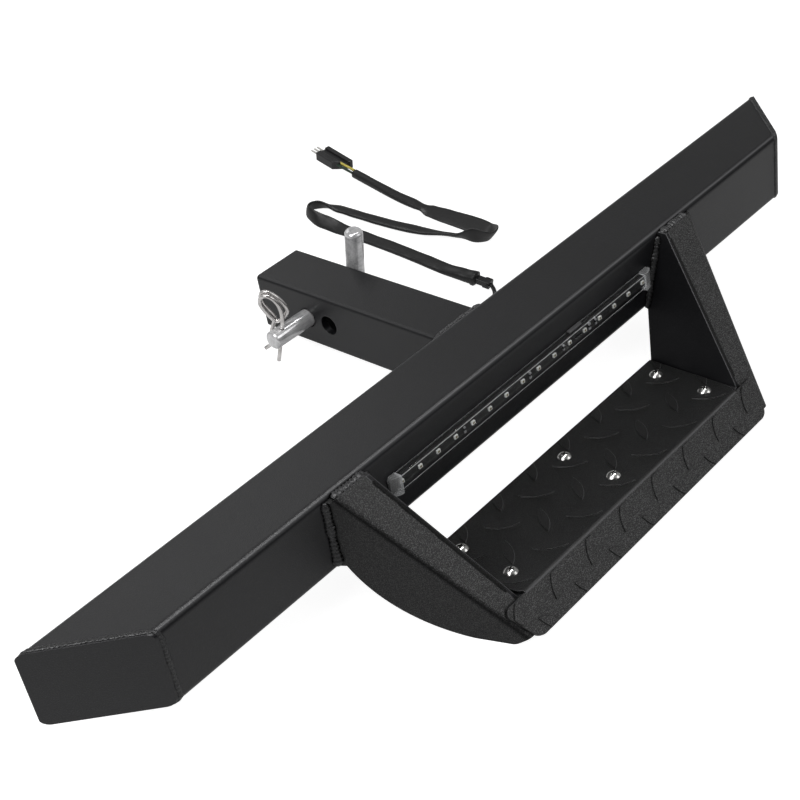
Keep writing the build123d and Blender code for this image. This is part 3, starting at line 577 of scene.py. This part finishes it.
def lensMaterial(name):
    # clear cover with faint moulding streaks, letting the light through to the chips
    look = lensLooks[name]
    material, tree, shader = newMaterial(name)
    flow = mouldedSkin(tree, lensSetup)[1]
    colour = mixColour(tree, times(tree, flow, 1.0 - look["clear"]), look["colour"], look["haze"])
    paint(tree, shader, colour, spanned(tree, flow, look["roughness"]))
    shader.inputs["Transmission Weight"].default_value = look["clear"]
    shader.inputs["IOR"].default_value = look["ior"]
    # painted highlight: the rims of the cover are mixed into a pale diffuse, by the edge share of each lens
    # look
    rimHighlight = addNode(tree, "ShaderNodeBsdfDiffuse")
    rimHighlight.inputs[0].default_value = lensSetup["rimHighlight"]
    edge = useGroup(tree, edgeSoft, Radius=lensSetup["edgeRadius"])
    rimHighlightMix = addNode(tree, "ShaderNodeMixShader")
    tree.links.new(mathNode(tree, "MULTIPLY", edge.outputs["Edge"], look["edge"], clamp=True), rimHighlightMix.inputs[0])
    tree.links.new(shader.outputs[0], rimHighlightMix.inputs[1])
    tree.links.new(rimHighlight.outputs[0], rimHighlightMix.inputs[2])
    # light that goes on through the cover isn't held back by it
    path = addNode(tree, "ShaderNodeLightPath")
    through = addNode(tree, "ShaderNodeBsdfTransparent")
    both = addNode(tree, "ShaderNodeMixShader")
    onward = mathNode(tree, "MAXIMUM", path.outputs["Is Shadow Ray"], path.outputs["Is Diffuse Ray"])
    tree.links.new(times(tree, onward, lensSetup["onward"]), both.inputs[0])
    tree.links.new(rimHighlightMix.outputs[0], both.inputs[1])
    tree.links.new(through.outputs[0], both.inputs[2])
    tree.links.new(both.outputs[0], tree.nodes["Material Output"].inputs["Surface"])
    return material


chipLook = {
    "pitch": 0.02, "cellsBefore": 40.0, "windowHalf": (0.00085, 0.00075), "windowRound": 0.0004,
    "frame": (0.86, 0.86, 0.84, 1), "wearAndEdgeHighlight": (0.62, 0.62, 0.6, 1), "wornShare": 0.4,
    "window": (0.20, 0.17, 0.09, 1), "roughness": (0.3, 0.5), "grainSize": 3000.0, "flowSize": 800.0,
}


def chipMaterial():
    # white housing with a small dark yellow window in the middle of each chip
    look = chipLook
    material, tree, shader = newMaterial("chipHousing")
    where = splitVector(tree, placeInObject(tree))
    cells = mathNode(tree, "ADD", mathNode(tree, "DIVIDE", where[0], look["pitch"]), look["cellsBefore"])
    offMiddle = mathNode(tree, "SUBTRACT", mathNode(tree, "FRACT", cells), 0.5)
    across = times(tree, mathNode(tree, "ABSOLUTE", offMiddle), look["pitch"])
    upward = mathNode(tree, "ABSOLUTE", where[2])
    far = []
    for away, half in zip((across, upward), look["windowHalf"]):
        beyond = mathNode(tree, "MAXIMUM", mathNode(tree, "SUBTRACT", away, half), 0.0)
        far.append(times(tree, beyond, beyond))
    reach = mathNode(tree, "SQRT", mathNode(tree, "ADD", far[0], far[1]))
    inside = rampMask(tree, reach, (look["windowRound"], 0.0), "SMOOTHSTEP")
    grain, flow = mouldedSkin(tree, look)
    housing = mixColour(tree, times(tree, flow, look["wornShare"]), look["frame"], look["wearAndEdgeHighlight"])
    colour = mixColour(tree, inside, housing, look["window"])
    paint(tree, shader, colour, spanned(tree, grain, look["roughness"]))
    return material


resistorLook = {
    "bodyHalf": 0.0009, "body": (0.012, 0.012, 0.013, 1), "tin": (0.42, 0.42, 0.43, 1),
    "dullTin": (0.2, 0.2, 0.21, 1), "roughness": (0.3, 0.5), "grainSize": 3000.0, "flowSize": 900.0,
}


def resistorMaterial():
    # small dark bodies with a tinned cap at both ends
    look = resistorLook
    material, tree, shader = newMaterial("resistorBody")
    where = splitVector(tree, placeInObject(tree))
    capped = mathNode(tree, "GREATER_THAN", mathNode(tree, "ABSOLUTE", where[2]), look["bodyHalf"])
    grain, flow = mouldedSkin(tree, look)
    tin = mixColour(tree, flow, look["tin"], look["dullTin"])
    colour = mixColour(tree, capped, look["body"], tin)
    paint(tree, shader, colour, spanned(tree, grain, look["roughness"]))
    return material


boardLook = {
    "trackAt": 0.0028, "trackHalf": 0.0006, "trackEdge": 0.0001, "trackDepth": 0.00004,
    "mask": (0.012, 0.012, 0.0125, 1), "paleMask": (0.02, 0.02, 0.021, 1), "track": (0.03, 0.03, 0.029, 1),
    "roughness": (0.25, 0.45), "grainSize": 3000.0, "flowSize": 200.0,
}


def boardMaterial():
    # dark board with two long tracks under the solder mask
    look = boardLook
    material, tree, shader = newMaterial("boardMask")
    upward = mathNode(tree, "ABSOLUTE", splitVector(tree, placeInObject(tree))[2])
    far = mathNode(tree, "ABSOLUTE", mathNode(tree, "SUBTRACT", upward, look["trackAt"]))
    limits = (look["trackHalf"] + look["trackEdge"], look["trackHalf"])
    track = rampMask(tree, far, limits, "SMOOTHSTEP")
    grain, flow = mouldedSkin(tree, look)
    mask = mixColour(tree, flow, look["mask"], look["paleMask"])
    colour = mixColour(tree, track, mask, look["track"])
    paint(tree, shader, colour, spanned(tree, grain, look["roughness"]))
    reliefNormal(tree, shader, track, look["trackDepth"])
    return material


finishes = {}
for name in coatLooks:
    finishes[name] = coatMaterial(name)
for name in metalLooks:
    finishes[name] = metalMaterial(name)
for name in plasticLooks:
    finishes[name] = plasticMaterial(name)
finishes["sleeveSkin"] = sleeveMaterial()
for name in lensLooks:
    finishes[name] = lensMaterial(name)
finishes["chipHousing"] = chipMaterial()
finishes["boardMask"] = boardMaterial()
finishes["resistorBody"] = resistorMaterial()
print("finishes made,", len(finishes))

finishNodes = {
    "blackCoat": ("cross_tube", "end_cap_left", "end_cap_right"),
    "shankCoat": ("shank",),
    "trayCoat": ("step_tray",),
    "speckledCoat": ("bracket_left", "bracket_right", "tread_plate"),
    "weldCoat": ("cap_welds", "shank_weld", "bracket_welds"),
    "screwZinc": ("tread_screws",),
    "nutZinc": ("tread_nuts",),
    "stripBase": ("led_base",),
    "stripClip": ("led_clip",),
    "boardMask": ("led_board",),
    "chipHousing": ("led_chips",),
    "resistorBody": ("led_resistors",),
    "clearLens": ("led_lens",),
    "paleEnd": ("led_end_left", "led_end_right"),
    "grommetRubber": ("wire_grommet",),
    "leadSkin": ("lead_wire_a", "lead_wire_b"),
    "connectorShell": ("connector_socket", "connector_plug", "sleeve_collar"),
    "sleeveSkin": ("harness_sleeve",),
    "plugBody": ("trailer_plug",),
    "prongNickel": ("plug_prongs",),
    "pinZinc": ("hitch_pin",),
    "clipZinc": ("hitch_clip",),
    "yellowWire": ("plug_wire_yellow",),
    "brownWire": ("plug_wire_brown",),
    "greenWire": ("plug_wire_green",),
    "whiteWire": ("plug_wire_white",),
}
for finish, names in finishNodes.items():
    for name in names:
        for slot in nodes[name].material_slots:
            slot.material = finishes[finish]
print("finishes on the frame")


# Helpers for shapes

def addPiece(name, data, finish, body="step_frame"):
    piece = addObject(name, data)
    data.materials.append(finishes[finish])
    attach(piece, body)
    return piece


def splineData(name, points):
    # a smooth line that these given points pull on
    data = bpy.data.curves.new(name, "CURVE")
    data.dimensions = "3D"
    spline = data.splines.new("NURBS")
    spline.points.add(len(points) - 1)
    for slot, point in zip(spline.points, points):
        slot.co = (*point, 1.0)
    spline.order_u = 3
    spline.use_endpoint_u = True
    spline.resolution_u = 14
    return data


def splinePoints(points):
    # points read off that smooth line
    data = splineData("line", points)
    holder = bpy.data.objects.new("line", data)
    mesh = bpy.data.meshes.new_from_object(holder)
    line = [v.co.copy() for v in mesh.vertices]
    bpy.data.objects.remove(holder)
    bpy.data.curves.remove(data)
    bpy.data.meshes.remove(mesh)
    return line


def evenly(line, gap):
    # the same line with its points about gap apart, and how far along each is
    total = sum((b - a).length for a, b in zip(line, line[1:]))
    count = max(2, round(total / gap))
    step = total / count
    places, reach, walked, i = [line[0].copy()], [0.0], 0.0, 0
    for k in range(1, count):
        goal = k * step
        while walked + (line[i + 1] - line[i]).length < goal:
            walked += (line[i + 1] - line[i]).length
            i += 1
        part = (goal - walked) / (line[i + 1] - line[i]).length
        places.append(line[i].lerp(line[i + 1], part))
        reach.append(goal)
    places.append(line[-1].copy())
    reach.append(total)
    return places, reach


def ringMesh(name, rings, closed=False):
    # a skin over rings of points, its ends capped unless it closes on itself
    bm = bmesh.new()
    rows = [[bm.verts.new(p) for p in ring] for ring in rings]
    count = len(rows[0])
    last = len(rows) if closed else len(rows) - 1
    for i in range(last):
        here, there = rows[i], rows[(i + 1) % len(rows)]
        for j in range(count):
            k = (j + 1) % count
            bm.faces.new((here[j], here[k], there[k], there[j]))
    if not closed:
        bm.faces.new(list(reversed(rows[0])))
        bm.faces.new(rows[-1])
    bmesh.ops.recalc_face_normals(bm, faces=bm.faces)
    mesh = bpy.data.meshes.new(name)
    bm.to_mesh(mesh)
    bm.free()
    for face in mesh.polygons:
        face.use_smooth = True
    return mesh


def readTable(table, at):
    # the row of a table at a distance, eased between its rows
    if at <= table[0][0]:
        return table[0][1:]
    for low, high in zip(table, table[1:]):
        if at <= high[0]:
            part = (at - low[0]) / (high[0] - low[0])
            part = part * part * (3 - 2 * part)
            return tuple(a + (b - a) * part for a, b in zip(low[1:], high[1:]))
    return table[-1][1:]


# Harness sleeve: soft lay-flat tube, flat on its side in the turns

sleeveRoute = [
    (0.13900, -0.04310, -0.03952),
    (0.13420, -0.01590, -0.03421),
    (0.13060, 0.02660, -0.02592),
    (0.12360, 0.07260, -0.01695),
    (0.11620, 0.10860, -0.00992),
    (0.11160, 0.12860, -0.00602),
    (0.11500, 0.14300, -0.00321),
    (0.12850, 0.14420, -0.00298),
    (0.14100, 0.12610, -0.00651),
    (0.14740, 0.09460, -0.01265),
    (0.15900, 0.05560, -0.02026),
    (0.17650, 0.01660, -0.02787),
    (0.18950, -0.01240, -0.03353),
    (0.19850, -0.01690, -0.03441),
    (0.20480, -0.00440, -0.03197),
    (0.20300, 0.01860, -0.02748),
    (0.19360, 0.06660, -0.01812),
    (0.19160, 0.11460, -0.00875),
    (0.19400, 0.15110, -0.00163),
]
sleeveSetup = {
    "length": 0.555,
    "diameter": 0.0118,
    "around": 28,
    "gap": 0.0016,
    "squareness": 0.85,
    "clearance": 0.0001,
    "restDepth": 0.001,
    "puckerSize": 70.0,
    "pucker": 0.00045,
    # distance along, half width, half thickness, roll in degrees
    "shape": [
        (0.000, 0.0068, 0.0060, 0),
        (0.012, 0.0068, 0.0050, 0),
        (0.035, 0.0066, 0.0034, 6),
        (0.140, 0.0062, 0.0030, 10),
        (0.166, 0.0066, 0.0019, 50),
        (0.186, 0.0066, 0.0014, 84),
        (0.204, 0.0064, 0.0017, 70),
        (0.228, 0.0064, 0.0028, 14),
        (0.300, 0.0064, 0.0030, 8),
        (0.345, 0.0070, 0.0020, 40),
        (0.364, 0.0084, 0.0014, 84),
        (0.380, 0.0090, 0.0014, 60),
        (0.398, 0.0094, 0.0016, 22),
        (0.440, 0.0090, 0.0019, 12),
        (0.458, 0.0080, 0.0019, 8),
        (0.468, 0.0060, 0.0026, -10),
        (0.480, 0.0056, 0.0032, 4),
        (0.535, 0.0044, 0.0041, 0),
    ],
}


def layOn(place, lift):
    # the point of the lying surface under a place, raised square to it
    base = Vector((place.x, place.y, layHeight(place.y)))
    return base + layUp * (lift + sleeveSetup["clearance"])


def flattened(value):
    # a sine or cosine that keeps nearer to 1, for a squarer outline
    return math.copysign(abs(value) ** sleeveSetup["squareness"], value)


def buildSleeve():
    line, reach = evenly(splinePoints(sleeveRoute), sleeveSetup["gap"])
    rings, middles = [], []
    for i, (place, at) in enumerate(zip(line, reach)):
        ahead = line[min(i + 1, len(line) - 1)] - line[max(i - 1, 0)]
        along = ahead.normalized()
        side = along.cross(layUp).normalized()
        rise = side.cross(along).normalized()
        wide, thick, rollDeg = readTable(sleeveSetup["shape"], at)
        roll = math.radians(rollDeg)
        lift = math.sqrt((wide * math.sin(roll)) ** 2 + (thick * math.cos(roll)) ** 2)
        middle = layOn(place, lift)
        middles.append(middle)
        ring = []
        for j in range(sleeveSetup["around"]):
            angle = 2 * math.pi * j / sleeveSetup["around"]
            a, b = flattened(math.cos(angle)) * wide, flattened(math.sin(angle)) * thick
            aside = a * math.cos(roll) - b * math.sin(roll)
            above = a * math.sin(roll) + b * math.cos(roll)
            point = side * aside + rise * above
            spot = middle + point
            # the side that it rests on stays smooth
            if point.dot(layUp) > -sleeveSetup["restDepth"]:
                pucker = noise.noise(spot * sleeveSetup["puckerSize"]) * sleeveSetup["pucker"]
                spot += point.normalized() * pucker
            ring.append(spot)
        rings.append(ring)
    piece = addPiece("sleeve_cover", ringMesh("sleeve_cover", rings), "sleeveSkin")
    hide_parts("harness_sleeve")
    return piece, middles


def lineLength(line):
    return sum((b - a).length for a, b in zip(line, line[1:]))


sleeve, sleeveLine = buildSleeve()
print("sleeve laid,", round(lineLength(sleeveLine), 4), "m")


# Twin lead from the light strip to the small connector

leadRoutes = {
    "lead_wire_a": [
        (0.14485, -0.21510, 0.00000),
        (0.14485, -0.19019, 0.00000),
        (0.12750, -0.17766, -0.00800),
        (0.09485, -0.16898, -0.01200),
        (0.09485, -0.13796, -0.01200),
        (0.09994, -0.11761, -0.02200),
        (0.11300, -0.08800, -0.03700),
        (0.12800, -0.07000, -0.04620),
        (0.13720, -0.06550, -0.04570),
        (0.14051, -0.05829, -0.04244),
    ],
    "lead_wire_b": [
        (0.14715, -0.21510, 0.00000),
        (0.14715, -0.18901, 0.00000),
        (0.12850, -0.17554, -0.00800),
        (0.09715, -0.16722, -0.01200),
        (0.09715, -0.13824, -0.01200),
        (0.10206, -0.11859, -0.02200),
        (0.11500, -0.08980, -0.03700),
        (0.13100, -0.07080, -0.04600),
        (0.14020, -0.06500, -0.04570),
        (0.14278, -0.05789, -0.04244),
    ],
}
leadSetup = {"radius": 0.00095, "length": 0.2065}


def buildLead(node, route):
    data = splineData(node + "_skin", route)
    data.bevel_depth = leadSetup["radius"]
    data.bevel_resolution = 4
    data.use_fill_caps = True
    piece = addPiece(node + "_skin", data, "leadSkin")
    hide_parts(node)
    return piece


leads = [buildLead(node, route) for node, route in leadRoutes.items()]
print("leads laid")


# Weld beads: rippled runs of metal under the coat

weldSetup = {
    "tubeBackY": -0.1501, "tubeSize": 0.0635, "tubeCorner": 0.0055,
    "shankSize": 0.0508, "shankCorner": 0.003,
    "backHalf": 0.435, "capRun": 0.004243,
    "cheekLeft": 0.2195, "cheekRight": 0.2233,
    "wallHalf": 0.1446, "wallLean": 0.374, "treadTopZ": -0.0695,
    "flangeTopZ": 0.031, "flangeLowY": -0.3079, "flangeLowZ": -0.07112, "slopeDeg": 49.5,
    # the skin of a bead
    "ripple": 0.0034, "lean": 0.35, "swell": 0.28, "waveMiddle": 0.6,
    "lump": 0.34, "lumpSize": 160, "pit": 0.12, "pitSize": 700,
    "endShare": 0.35, "endRun": 1.4, "gap": 0.0006, "around": 14,
}
# half width and height of each kind of bead, how far it stands off, and where it runs
beadRuns = {
    "cap": {"half": 0.0019, "rise": 0.0010, "sunk": 0.0002, "seed": 3.0},
    "shank": {"half": 0.0042, "rise": 0.0022, "off": 0.0016, "behind": 0.0015, "seed": 7.0},
    "cheek": {"half": 0.0034, "rise": 0.0022, "off": 0.0010, "z": (-0.0275, 0.0285), "seed": 11.0},
    "top": {"half": 0.0034, "rise": 0.0018, "off": 0.0030, "short": 0.0055, "z": 0.0292, "seed": 17.0},
    "wall": {
        "half": 0.0030, "rise": 0.0019, "off": 0.0012,
        "z": (-0.0300, 0.0270), "wallZ": (-0.0307, 0.0275), "seed": 23.0,
    },
    "seam": {"half": 0.0015, "rise": 0.0005, "off": 0.0026, "z": (-0.0650, 0.0265), "seed": 29.0},
}
tubeFrontY = weldSetup["tubeBackY"] - weldSetup["tubeSize"]


def beadMesh(kind, line, facings, closed=False, sign=1):
    # a bead along a line; each facing is the way its crown points there
    run = beadRuns[kind]
    wide, high = run["half"], run["rise"]
    shift = Vector((run["seed"] * sign, 0, 0))
    rings = []
    walked = 0.0
    count = len(line)
    for i in range(count):
        before = line[(i - 1) % count] if closed or i else line[i]
        after = line[(i + 1) % count] if closed or i < count - 1 else line[i]
        along = (after - before).normalized()
        crown = facings[i]
        crown = (crown - along * crown.dot(along)).normalized()
        side = along.cross(crown)
        lump = noise.noise(line[i] * weldSetup["lumpSize"] + shift) * weldSetup["lump"]
        taper = 1.0
        if not closed:
            inward = min(i, count - 1 - i) * weldSetup["gap"]
            taper = min(1.0, weldSetup["endShare"] + inward / (weldSetup["endRun"] * wide))
        ring = []
        for j in range(weldSetup["around"]):
            angle = 2 * math.pi * j / weldSetup["around"]
            out, up = math.cos(angle), math.sin(angle)
            phase = (walked + weldSetup["lean"] * wide * out ** 2) / weldSetup["ripple"]
            crest = abs(math.sin(math.pi * phase)) - weldSetup["waveMiddle"]
            spot = (line[i] + side * out * wide) * weldSetup["pitSize"]
            grown = 1 + weldSetup["swell"] * crest + lump
            grown *= taper * (1 + weldSetup["pit"] * noise.noise(spot))
            ring.append(line[i] + side * (out * wide * grown) + crown * (up * high * grown))
        rings.append(ring)
        walked += (after - line[i]).length
    return ringMesh(kind + "_bead", rings, closed)


def joinMeshes(name, meshes):
    bm = bmesh.new()
    for mesh in meshes:
        bm.from_mesh(mesh)
        bpy.data.meshes.remove(mesh)
    joined = bpy.data.meshes.new(name)
    bm.to_mesh(joined)
    bm.free()
    return joined


def roundSquare(half, corner, steps=6):
    # a square with round corners as (a, b) and the way each point faces
    points = []
    for quarter, signs in enumerate(((1, 1), (-1, 1), (-1, -1), (1, -1))):
        middle = Vector(signs) * (half - corner)
        for k in range(steps + 1):
            angle = math.pi / 2 * (quarter + k / steps)
            face = Vector((math.cos(angle), math.sin(angle)))
            points.append((middle + face * corner, face))
    dense = []
    for (p, f), (q, g) in zip(points, points[1:] + points[:1]):
        runs = max(1, round((q - p).length / weldSetup["gap"]))
        for k in range(runs):
            dense.append((p.lerp(q, k / runs), f.lerp(g, k / runs).normalized()))
    return dense


def capBeads():
    # round both mitred ends of the tube
    meshes = []
    middleY = weldSetup["tubeBackY"] - weldSetup["tubeSize"] / 2
    capX = weldSetup["backHalf"] - weldSetup["capRun"]
    half = weldSetup["tubeSize"] / 2 - beadRuns["cap"]["sunk"]
    for sign in (-1, 1):
        line, facings = [], []
        for p, face in roundSquare(half, weldSetup["tubeCorner"]):
            y = middleY + p.x
            line.append(Vector((sign * (capX + y - weldSetup["tubeBackY"]), y, p.y)))
            facings.append(Vector((0, face.x, face.y)))
        meshes.append(beadMesh("cap", line, facings, True, sign))
    return joinMeshes("cap_beads", meshes)


def shankBead():
    # round the foot of the shank
    off, behind = beadRuns["shank"]["off"], beadRuns["shank"]["behind"]
    line, facings = [], []
    for p, face in roundSquare(weldSetup["shankSize"] / 2 + off, weldSetup["shankCorner"] + off):
        line.append(Vector((p.x, weldSetup["tubeBackY"] + behind, p.y)))
        facings.append(Vector((face.x, 1.0, face.y)))
    return beadMesh("shank", line, facings, True)


def straightBead(kind, sign, start, end, facing):
    # a bead between two points given for the right side, and mirrored where sign is -1
    start = Vector((sign * start[0], *start[1:]))
    end = Vector((sign * end[0], *end[1:]))
    runs = round((end - start).length / weldSetup["gap"])
    line = [start.lerp(end, k / runs) for k in range(runs + 1)]
    return beadMesh(kind, line, [Vector(facing)] * len(line), False, sign)


def wallX(z):
    # how far out a side wall of the tray stands at a height
    return weldSetup["wallHalf"] + weldSetup["wallLean"] * (z - weldSetup["treadTopZ"])


def bracketBeads():
    meshes = []
    cheekRun, topRun, wallRun = beadRuns["cheek"], beadRuns["top"], beadRuns["wall"]
    nearY, topY = tubeFrontY - wallRun["off"], tubeFrontY - topRun["off"]
    wallXs = [wallX(z) - wallRun["off"] for z in wallRun["wallZ"]]
    for sign, cheek in ((-1, weldSetup["cheekLeft"]), (1, weldSetup["cheekRight"])):
        ends = [(cheek + cheekRun["off"], nearY, z) for z in cheekRun["z"]]
        meshes.append(straightBead("cheek", sign, *ends, (sign, -0.9, 0)))
        ends = [(x, topY, topRun["z"]) for x in (wallX(weldSetup["flangeTopZ"]), cheek - topRun["short"])]
        meshes.append(straightBead("top", sign, *ends, (0, -0.35, 1)))
        ends = [(x, nearY, z) for x, z in zip(wallXs, wallRun["z"])]
        meshes.append(straightBead("wall", sign, *ends, (-sign, -1, 0)))
    return joinMeshes("bracket_beads", meshes)


def flangeSeams():
    # rough near-black beads painted as the shadowed cracks where the side walls of the tray meet the sloping
    # flanges
    slope = math.radians(weldSetup["slopeDeg"])
    ends = []
    for z in beadRuns["seam"]["z"]:
        y = weldSetup["flangeLowY"] + (z - weldSetup["flangeLowZ"]) / math.tan(slope)
        ends.append((wallX(z) + beadRuns["seam"]["off"], y, z))
    facing = (0, -math.sin(slope), math.cos(slope))
    return joinMeshes("flange_seams", [straightBead("seam", sign, *ends, facing) for sign in (-1, 1)])


addPiece("flange_seams", flangeSeams(), "seamShadeCoat")
for mesh, node in ((capBeads(), "cap_welds"), (shankBead(), "shank_weld"), (bracketBeads(), "bracket_welds")):
    piece = addPiece(mesh.name, mesh, "weldCoat")
    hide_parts(node)
print("weld beads run")


# Strip clip: a small saddle behind the top edge of the light strip

clipSetup = {"plate": 0.0012, "lip": 0.0018, "deep": 0.0034, "round": 0.00025}


def buildStripClip():
    corners = [nodes["led_clip"].matrix_world @ Vector(c) for c in nodes["led_clip"].bound_box]
    left, right = min(c.x for c in corners), max(c.x for c in corners)
    back, top = max(c.y for c in corners), max(c.z for c in corners)
    front = back - clipSetup["deep"]
    plate, lip = clipSetup["plate"], clipSetup["lip"]
    outline = [
        (back, top), (front, top), (front, top - lip),
        (front + plate, top - lip), (front + plate, top - plate), (back, top - plate),
    ]
    bm = bmesh.new()
    near = [bm.verts.new((left, y, z)) for y, z in outline]
    far = [bm.verts.new((right, y, z)) for y, z in outline]
    bm.faces.new(near)
    bm.faces.new(list(reversed(far)))
    for i in range(len(outline)):
        k = (i + 1) % len(outline)
        bm.faces.new((near[i], far[i], far[k], near[k]))
    bmesh.ops.recalc_face_normals(bm, faces=bm.faces)
    bmesh.ops.bevel(bm, geom=list(bm.edges), offset=clipSetup["round"], segments=2, affect="EDGES")
    mesh = bpy.data.meshes.new("strip_saddle")
    bm.to_mesh(mesh)
    bm.free()
    piece = addPiece("strip_saddle", mesh, "stripClip")
    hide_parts("led_clip")


buildStripClip()
print("strip clip set")


# Floor, cards and light

studio = {
    "floorSize": 3.0,
    "floorBelow": 0.0003,
    "floorColour": (0.52, 0.52, 0.52, 1),
    "floorFleck": (0.50, 0.50, 0.50, 1),
    "floorGrain": 400.0,
    "floorGlow": 0.90,
    "floorShine": 0.36,
    "skyLevel": 0.36,
    "skyShine": 0.30,
    "cardSize": (0.75, 0.55),
    "cardBehind": 0.45,
    "cardColour": (0.01, 0.01, 0.01, 1),
    "cardFleck": (0.014, 0.014, 0.014, 1),
    "cardGrain": 60.0,
}
# a lamp that isn't seen by diffuse light only makes highlights
lamps = {
    "keyLamp": {
        "place": (-1.1, -0.2, 1.2), "target": (0, -0.15, 0), "size": (1.0, 0.9), "power": 11.0,
        "diffuse": True,
    },
    "backLamp": {
        "place": (0.5, 1.9, 1.9), "target": (0, -0.15, 0), "size": (2.1, 1.2), "power": 9.6, "diffuse": False,
    },
    "topLamp": {
        "place": (0.15, -0.3, 1.6), "target": (0.15, -0.2, 0), "size": (1.8, 0.15), "power": 16.0,
        "diffuse": False,
    },
    "fillLamp": {
        "place": (0.7, -1.5, 0.9), "target": (0, -0.2, 0), "size": (1.0, 0.8), "power": 4.0, "diffuse": True,
    },
}


def pathGlow(tree, seenLevel, mirrorLevel):
    # how bright a backdrop is to the camera, and in metal and glass
    path = addNode(tree, "ShaderNodeLightPath")
    mirrored = mathNode(tree, "MAXIMUM", path.outputs["Is Glossy Ray"], path.outputs["Is Transmission Ray"])
    seen = times(tree, path.outputs["Is Camera Ray"], seenLevel)
    return mathNode(tree, "ADD", seen, times(tree, mirrored, mirrorLevel))


def paperMaterial(name, colour, fleck, grain, roughness):
    # flecked paper or felt
    material, tree, shader = newMaterial(name)
    flecks = noiseTexture(tree, placeInObject(tree), grain)
    paint(tree, shader, mixColour(tree, flecks, colour, fleck), roughness)
    return material, tree, shader


def stagePiece(name, corners, material):
    mesh = bpy.data.meshes.new(name)
    mesh.from_pydata(corners, [], [(0, 1, 2, 3)])
    mesh.materials.append(material)
    piece = addObject(name, mesh)
    return piece


def buildFloor():
    size = studio["floorSize"]
    corners = []
    for x, y in ((-size, -size), (size, -size), (size, size), (-size, size)):
        corners.append((x, y, layHeight(y) - studio["floorBelow"]))
    material, tree, shader = paperMaterial(
        "floorPaper", studio["floorColour"], studio["floorFleck"], studio["floorGrain"], 0.9
    )
    shader.inputs["Specular IOR Level"].default_value = 0.1
    shader.inputs["Emission Color"].default_value = (1, 1, 1, 1)
    glow = pathGlow(tree, studio["floorGlow"], studio["floorShine"])
    tree.links.new(glow, shader.inputs["Emission Strength"])
    stagePiece("floor", corners, material)


def buildDarkCard():
    # dark card behind the camera, which only mirrored rays meet
    middle = Vector(cameraSetup["place"]) + Vector(cameraSetup["back"]) * studio["cardBehind"]
    wide, high = studio["cardSize"]
    right, up = Vector(cameraSetup["right"]) * wide, Vector(cameraSetup["up"]) * high
    corners = [middle + right * a + up * b for a, b in ((-1, -1), (1, -1), (1, 1), (-1, 1))]
    material = paperMaterial(
        "darkCardFelt", studio["cardColour"], studio["cardFleck"], studio["cardGrain"], 0.95
    )[0]
    card = stagePiece("darkCard", corners, material)
    card.visible_camera = False
    card.visible_diffuse = False
    card.visible_shadow = False


def buildSky():
    world = bpy.data.worlds.new("studio")
    bpy.context.scene.world = world
    world.use_nodes = True
    tree = world.node_tree
    shade = tree.nodes["Background"]
    shade.inputs[0].default_value = (1, 1, 1, 1)
    level = studio["skyLevel"]
    glow = pathGlow(tree, 1.0 - level, studio["skyShine"] - level)
    tree.links.new(mathNode(tree, "ADD", glow, level), shade.inputs[1])


def buildLamps():
    for name, lamp in lamps.items():
        data = bpy.data.lights.new(name, "AREA")
        data.shape = "RECTANGLE"
        data.size, data.size_y = lamp["size"]
        data.energy = lamp["power"]
        piece = addObject(name, data)
        piece.location = lamp["place"]
        aim = Vector(lamp["target"]) - Vector(lamp["place"])
        piece.rotation_euler = aim.to_track_quat("-Z", "Y").to_euler()
        piece.visible_diffuse = lamp["diffuse"]


buildFloor()
buildDarkCard()
buildSky()
buildLamps()
bpy.context.scene.view_settings.view_transform = "Standard"
print("studio lit")
